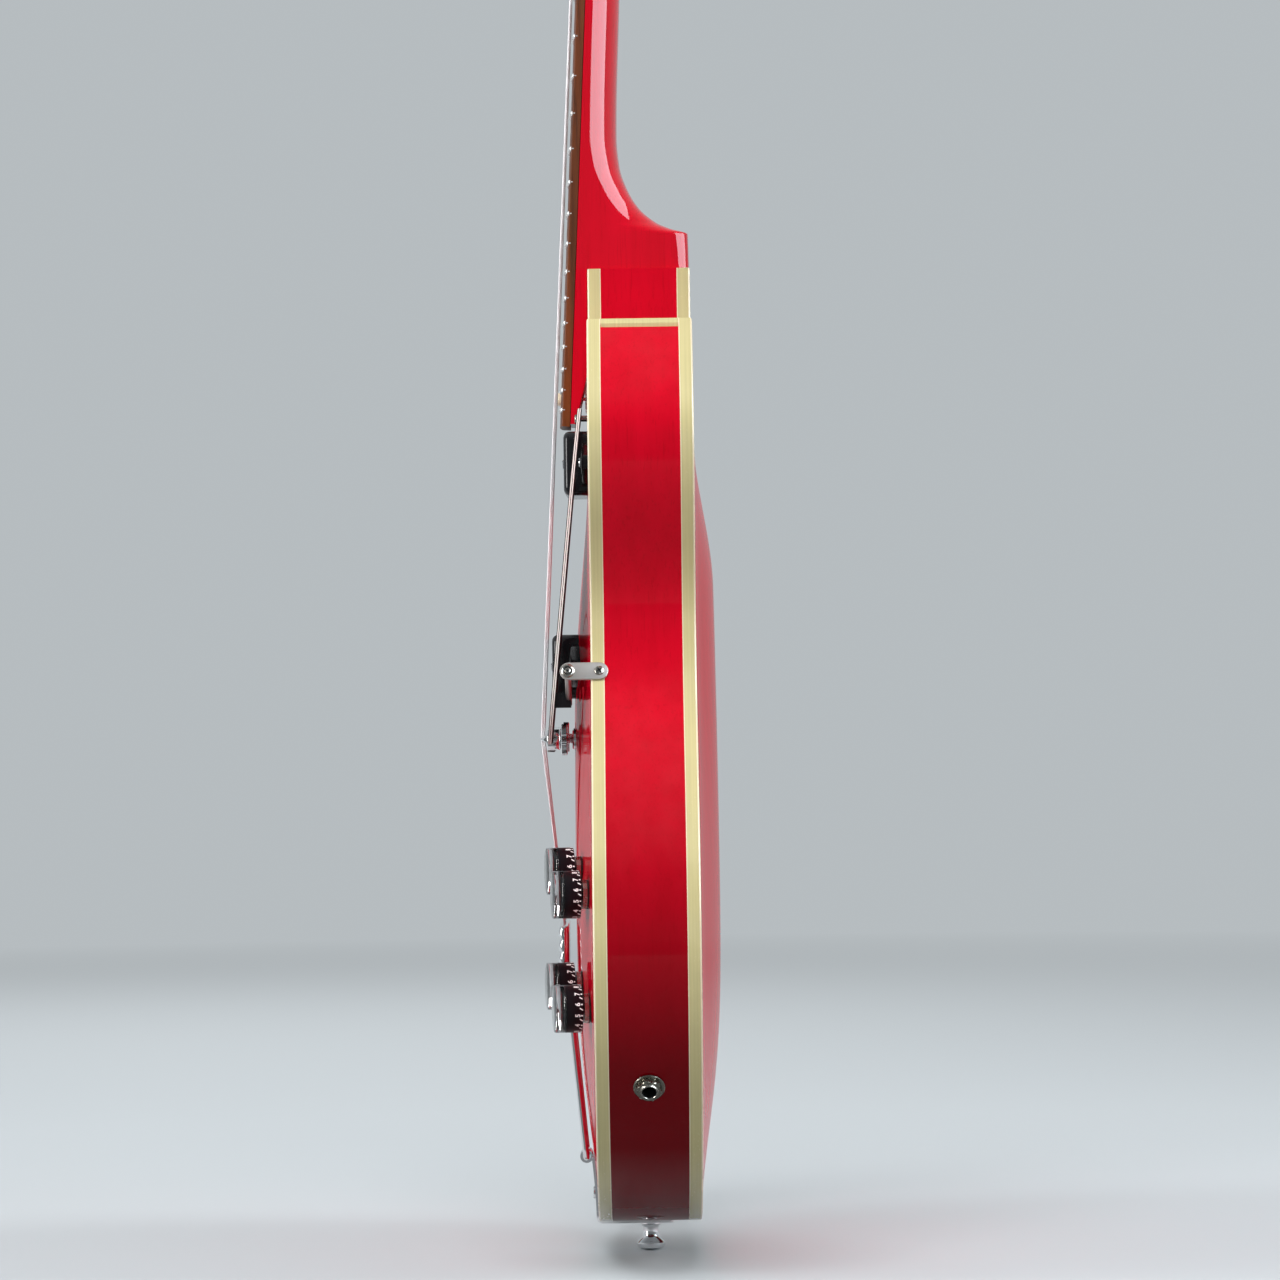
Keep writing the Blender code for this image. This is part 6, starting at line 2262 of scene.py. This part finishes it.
    def switch(self) -> None:
        """Build the toggle's nut, lever and tip."""
        x, z = self.switch_place
        at = Vector((x, self.plan.top_y(x, z), z))
        nut = Shape().turned(((5.5, 0.05), (8.0, 0.05), (8.0, 2.3), (7.3, 3.0), (4.9, 3.0), (4.6, 2.7),
                              (4.6, 0.05), (5.5, 0.05)), 144, at, FRONT,
                             wave=lambda a, h: 1.0 + (0.012 * math.cos(36 * a) if 0 < h < 2.6 else 0.0))
        nut.make("switch_knurled_nut", [NICKEL], "guitar", sharp=30)
        dress_node(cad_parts["switch_body"], NICKEL)
        lever = [(0, -2.1), (1.5, -2.1), (1.5, 11.3), (0, 11.3)]
        pivot = at + FRONT @ Vector((0, 0, -3.0))
        Shape().turned(lever, 24, pivot, FRONT).make("switch_stem", [CHROME], "switch_lever", sharp=40)
        tip = [(0, 10.8), (2.4, 10.8), (2.9, 11.0), (3.5, 12.4), (3.95, 14.6), (4.1, 17.0), (4.05, 18.6),
               (3.7, 20.3), (3.0, 21.7), (1.9, 22.6), (0.8, 22.95), (0, 23.0)]
        Shape().turned(tip, 40, pivot, FRONT).make(
            "switch_tip", [TIP], "switch_lever", "switch_lever", sharp=50)

    def socket(self) -> None:
        """Build the output socket's washer, hex nut and threaded barrel."""
        x, normal = self.plan.side_at(self.plan.socket_z)
        at, turn = Vector((x, 0, self.plan.socket_z)), facing(normal)
        shape = Shape().turned(((4.8, 0.06), (7.7, 0.06), (8.0, 0.35), (8.0, 0.9), (7.6, 1.3), (4.8, 1.3),
                                (4.8, 0.06)), 64, at, turn, kinds=[2] * 6)

        def flats(angle: float, height: float) -> float:
            """Cut six flats between the nut's two faces."""
            off = (angle + 0.25) % (math.pi / 3) - math.pi / 6
            return math.cos(math.pi / 6) / math.cos(off) / 0.96 if 1.4 < height < 3.9 else 0.96

        shape.turned(((4.75, 1.35), (6.2, 1.35), (6.6, 1.7), (6.6, 3.5), (6.1, 4.0), (4.75, 4.0), (4.75, 1.35)),
                     96, at, turn, kinds=[2] * 6, wave=flats)
        threads = [(4.7 - (0.25 if k % 2 else 0.0), 0.25 * k) for k in range(18)]
        # The inside of the barrel takes the dark finish, painted shade down the bore.
        shape.turned([(4.7, -3.0), *threads, (4.5, 4.6), (4.3, 5.0), (3.75, 5.0), (3.6, 4.8), (3.6, -25),
                      (0, -25)], 48, at, turn, kinds=[0] * (len(threads) + 4) + [1, 1])
        shape.turned(((0, -29.8), (5.5, -29.8), (5.5, -10), (7.0, -10), (7.0, -3.7), (4.7, -3.7),
                      (4.7, -3.0)), 32, at, turn)
        shape.make("output_socket", [NICKEL, BLACK_PLY_AND_RECESS_SHADE, DULL], "guitar", "jack_socket", sharp=32)


@dataclass
class Tuners:
    """Six tuners: two plates with gear housings, posts, bushings and buttons.

    Attributes:
        plan: The shared layout.
        back: Where the plates lie behind the headstock's face.
    """

    plan: Layout
    back: float = -14.3

    def build(self) -> None:
        """Build both rows."""
        posts = self.plan.posts
        place, turn = self.plan.head_frame()
        for side, row in ((-1, "bass"), (1, "treble")):
            plate = Shape()
            middle = side * self.plan.post_x
            outline = [(middle + x, posts[1] + y) for x, y in round_rect(9.0, 58.0, 3.0)]
            plate.prism(outline, self.back - 1.2, self.back, place, turn, 0.3)
            for up in posts:
                case = [(middle + x, up + y) for x, y in round_rect(7.0, 8.0, 2.6)]
                plate.prism(case, self.back - 9.2, self.back - 0.9, place, turn, 1.4)
            for up in (30.5, 64.0, 104.0, 137.5):
                at = place + turn @ Vector((middle, up, self.back - 1.2))
                crossed_head(plate, at, turn @ Matrix.Rotation(math.pi, 3, "X"), 2.2, 0.9, 0, 1)
            plate.make(f"{row}_tuner_plate", [NICKEL, BLACK_PLY_AND_RECESS_SHADE], "guitar", f"tuner_plate_{row}", sharp=40)
            for number, up in enumerate(posts, 1):
                self.tuner(side, row, number, up, place, turn)

    def tuner(self, side: int, row: str, number: int, up: float, place: Vector, turn: Matrix) -> None:
        """Build one post, its bushing and its button.

        Args:
            side: -1 for bass, 1 for treble.
            row: The row's name.
            number: Its number from the nut.
            up: Its height along the headstock.
            place: The headstock's origin.
            turn: The headstock's axes.
        """
        at = place + turn @ Vector((side * self.plan.post_x, up, 0))
        post = [(0, -13.8), (3.0, -13.8), (3.0, 5.6), (2.9, 6.0), (2.45, 7.6), (2.35, 8.6), (2.45, 9.4),
                (2.9, 11.0), (3.0, 11.5), (2.8, 12.0), (0, 12.0)]
        name = f"tuner_post_{row}_{number}"
        Shape().turned(post, 40, at, turn).make(f"{row}_post_{number}", [NICKEL], name, name, sharp=40)
        ring = Shape().turned(((3.35, 0.05), (5.6, 0.05), (5.6, 0.9), (5.2, 1.3), (3.35, 1.3), (3.35, 0.05)),
                              48, at, turn)
        ring.turned(((3.35, 1.35), (4.7, 1.35), (4.7, 3.2), (4.3, 3.6), (3.35, 3.6), (3.35, 1.35)),
                    72, at, turn, wave=six_sided)
        ring.make(f"{row}_bushing_{number}", [NICKEL], "guitar", sharp=32)
        axis = turn @ Matrix.Rotation(side * math.pi / 2, 3, "Y")
        start = at + turn @ Vector((0, 0, self.back - 5.2))
        shaft = Shape().turned(((0, 7.3), (1.6, 7.3), (1.6, 8.2), (2.6, 8.4), (2.6, 9.2), (1.6, 9.4),
                                (1.6, 20.5), (0, 20.5)), 24, start, axis)

        def full(value: float) -> float:
            """Fill out a sine or a cosine towards a rounded square."""
            return math.copysign(abs(value) ** 0.85, value)

        rings = []
        for height, wide in ((19.8, 2.6), (20.4, 3.2), (21.6, 4.6), (23.4, 6.2), (26.0, 7.5), (28.6, 8.0),
                             (31.6, 7.8), (33.8, 6.8), (35.2, 5.0), (35.9, 2.6)):
            flat = 0.46 if height > 21 else 0.8
            rings.append([start + axis @ Vector((wide * flat * full(math.cos(a)), wide * full(math.sin(a)),
                                                 height)) for a in (2 * math.pi * k / 40 for k in range(40))])
        body = f"tuner_button_{row}_{number}"
        Shape().loft(rings).make(f"{row}_button_{number}", [PEARL], body, body, sharp=50)
        shaft.make(f"{row}_shaft_{number}", [NICKEL], body, sharp=40)


def dress_node(node: bpy.types.Object, finish: Finish) -> None:
    """Give a carried-over CAD node a finish in place of its plain one.

    Args:
        node: The node.
        finish: Its finish.
    """
    node.data.materials.clear()
    node.data.materials.append(finish.material())
    LOG.info("%s: dressed as %s", node.name, finish.name)


# ---------------------------------------------------------------- studio

class Shown(Enum):
    """Which rays see a lamp."""

    LIGHT = "light"
    REFLECTIONS = "reflections"


@dataclass
class Studio:
    """Pale floor, soft lamps and the camera beside the guitar's treble side.

    Attributes:
        centre: Where the camera stands, in metres.
        lens: Its focal length.
        lean: The sine of its roll.
        floor_z: The height of the floor in metres.
        pale: The colour of the surroundings.
    """

    centre: Vector = field(default_factory=lambda: Vector((3.0, -0.0017, 0.3073)))
    lens: float = 158.67
    lean: float = 0.013
    floor_z: float = -0.0168
    pale: tuple[float, float, float] = (0.47, 0.505, 0.525)

    def build(self) -> None:
        """Set everything that isn't the guitar."""
        self.camera()
        self.floor()
        self.world()
        self.lamp("key_overhead", (1.35, -0.25, 2.15), (0.0, 0.0, 0.36), (1.5, 1.1), 45.0, Shown.LIGHT)
        self.lamp("front_left", (0.5, -2.4, 1.1), (0.0, 0.0, 0.35), (0.9, 1.6), 34.0, Shown.LIGHT)
        self.lamp("front_card", (0.9, -1.7, 0.6), (0.0, 0.0, 0.4), (0.5, 1.5), 26.0, Shown.REFLECTIONS)
        self.lamp("back_right", (-0.3, 2.3, 1.2), (0.0, 0.0, 0.4), (0.9, 1.6), 38.0, Shown.LIGHT)
        self.lamp("far_side", (-2.2, -0.5, 1.5), (0.0, 0.0, 0.4), (1.2, 1.4), 30.0, Shown.LIGHT)
        self.lamp("low_fill", (1.6, 0.0, 0.30), (0.0, 0.0, 0.10), (0.6, 0.3), 4.0, Shown.LIGHT)
        self.lamp("neck_card", (0.60, 1.12, 1.10), (0.0, 0.0, 1.10), (1.6, 1.4), 58.0, Shown.REFLECTIONS,
                  (0.78, 0.90, 1.0))

    def camera(self) -> None:
        """Stand the camera edge-on to the guitar, with the photograph's slight roll."""
        data = bpy.data.cameras.new("edge_view")
        data.sensor_width = 36.0
        data.lens = self.lens
        data.clip_start = 0.05
        camera = bpy.data.objects.new("edge_view", data)
        sine, cosine = self.lean, math.sqrt(1 - self.lean ** 2)
        right, up = Vector((0, cosine, -sine)), Vector((0, sine, cosine))
        turn = Matrix((right, up, Vector((1, 0, 0)))).transposed()
        camera.matrix_world = Matrix.Translation(self.centre) @ turn.to_4x4()
        bpy.context.scene.collection.objects.link(camera)
        bpy.context.scene.camera = camera

    def floor(self) -> None:
        """Lay a wide floor that fades into the pale surroundings; to reflections it is painted dark on the
        camera's side beyond a strip by the guitar.
        """
        mesh = bpy.data.meshes.new("floor")
        bm = bmesh.new()
        bmesh.ops.create_circle(bm, cap_ends=True, radius=40.0, segments=96)
        bm.to_mesh(mesh)
        bm.free()
        floor = bpy.data.objects.new("floor", mesh)
        floor.location = (0, 0, self.floor_z)
        bpy.context.scene.collection.objects.link(floor)
        material = bpy.data.materials.new("pale_floor")
        material.use_nodes = True
        tree = material.node_tree
        bench = Bench(tree)
        shader = tree.nodes["Principled BSDF"]
        shader.inputs["Roughness"].default_value = 0.75
        shader.inputs["Specular IOR Level"].default_value = 0.15
        path = bench.add("LightPath")
        seen = bench.math("MAXIMUM", path.outputs["Is Camera Ray"], bench.math(
            "MAXIMUM", path.outputs["Is Glossy Ray"], path.outputs["Is Transmission Ray"]))
        dim = tuple(c * 0.5 for c in self.pale)
        where = bench.add("TexCoord")
        split = bench.add("SeparateXYZ")
        bench.link(where.outputs["Object"], split.inputs[0])
        # Painted reflection: glossy rays see the floor dark beyond x 0.13 m on the camera's side.
        shade = bench.ramp(split.outputs["X"], 0.09, 0.13, 0.0, 0.75)
        shade = bench.math("MULTIPLY", shade, path.outputs["Is Glossy Ray"])
        pale = bench.mix(shade, tuple(min(1.0, c * 1.06) for c in self.pale), (0.0, 0.0, 0.0))
        bench.link(bench.mix(seen, dim, pale), shader.inputs["Base Color"])
        length = bench.add("VectorMath", operation="LENGTH")
        bench.link(where.outputs["Object"], length.inputs[0])
        away = bench.ramp(length.outputs["Value"], 0.9, 3.2)
        away = bench.math("MULTIPLY", away, seen)
        glow = bench.add("Emission")
        bench.link(bench.mix(shade, self.pale, (0.0, 0.0, 0.0)), glow.inputs["Color"])
        blend = bench.add("MixShader")
        bench.link(away, blend.inputs[0])
        bench.link(shader.outputs[0], blend.inputs[1])
        bench.link(glow.outputs[0], blend.inputs[2])
        bench.link(blend.outputs[0], tree.nodes["Material Output"].inputs["Surface"])
        mesh.materials.append(material)

    def world(self) -> None:
        """Surround the guitar with pale walls, darker on the camera's side and above."""
        world = bpy.data.worlds.new("studio")
        bpy.context.scene.world = world
        world.use_nodes = True
        tree = world.node_tree
        bench = Bench(tree)
        sky = tree.nodes["Background"]
        path = bench.add("LightPath")
        where = bench.add("TexCoord")
        split = bench.add("SeparateXYZ")
        bench.link(where.outputs["Generated"], split.inputs[0])
        behind = bench.ramp(split.outputs["X"], -0.15, 0.75, 1.0, 0.30)
        gloss = bench.mix(behind, (0.0, 0.0, 0.0), self.pale)
        seen = bench.mix(path.outputs["Is Glossy Ray"], self.pale, gloss)
        shown = bench.math("MAXIMUM", path.outputs["Is Camera Ray"], bench.math(
            "MAXIMUM", path.outputs["Is Glossy Ray"], path.outputs["Is Transmission Ray"]))
        bench.link(bench.mix(shown, (0.20, 0.21, 0.22), seen), sky.inputs["Color"])
        sky.inputs["Strength"].default_value = 1.0

    def lamp(self, name: str, at: Point, to: Point, size: tuple[float, float], power: float,
             shown: Shown, tint: tuple[float, float, float] = (1.0, 1.0, 1.0)) -> None:
        """Hang a soft lamp.

        Args:
            name: The lamp's name.
            at: Where it hangs, in metres.
            to: Where it points.
            size: Its width and height in metres.
            power: Its power in watts.
            shown: Which rays see it.
            tint: The colour of its light.
        """
        data = bpy.data.lights.new(name, "AREA")
        data.shape = "RECTANGLE"
        data.size, data.size_y = size
        data.energy = power
        data.color = tint
        lamp = bpy.data.objects.new(name, data)
        lamp.location = at
        lamp.rotation_euler = (Vector(to) - Vector(at)).to_track_quat("-Z", "Y").to_euler()
        lamp.visible_camera = False
        lamp.visible_diffuse = shown is Shown.LIGHT
        lamp.visible_glossy = shown is Shown.REFLECTIONS
        bpy.context.scene.collection.objects.link(lamp)


def main() -> None:
    """Build the guitar and its studio in order."""
    logging.basicConfig(level=logging.INFO, format="%(message)s")
    bpy.context.scene.view_settings.view_transform = "Standard"
    plan = Layout()
    for part in (Body, Neck, Strings, Pickups, Guard, Bridge, Tailpiece, Controls, Tuners):
        part(plan).build()
    dress_node(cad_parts["centre_block"], MAPLE)
    dress_node(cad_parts["truss_rod"], STEEL)
    Studio().build()


if __name__ == "__main__":
    main()
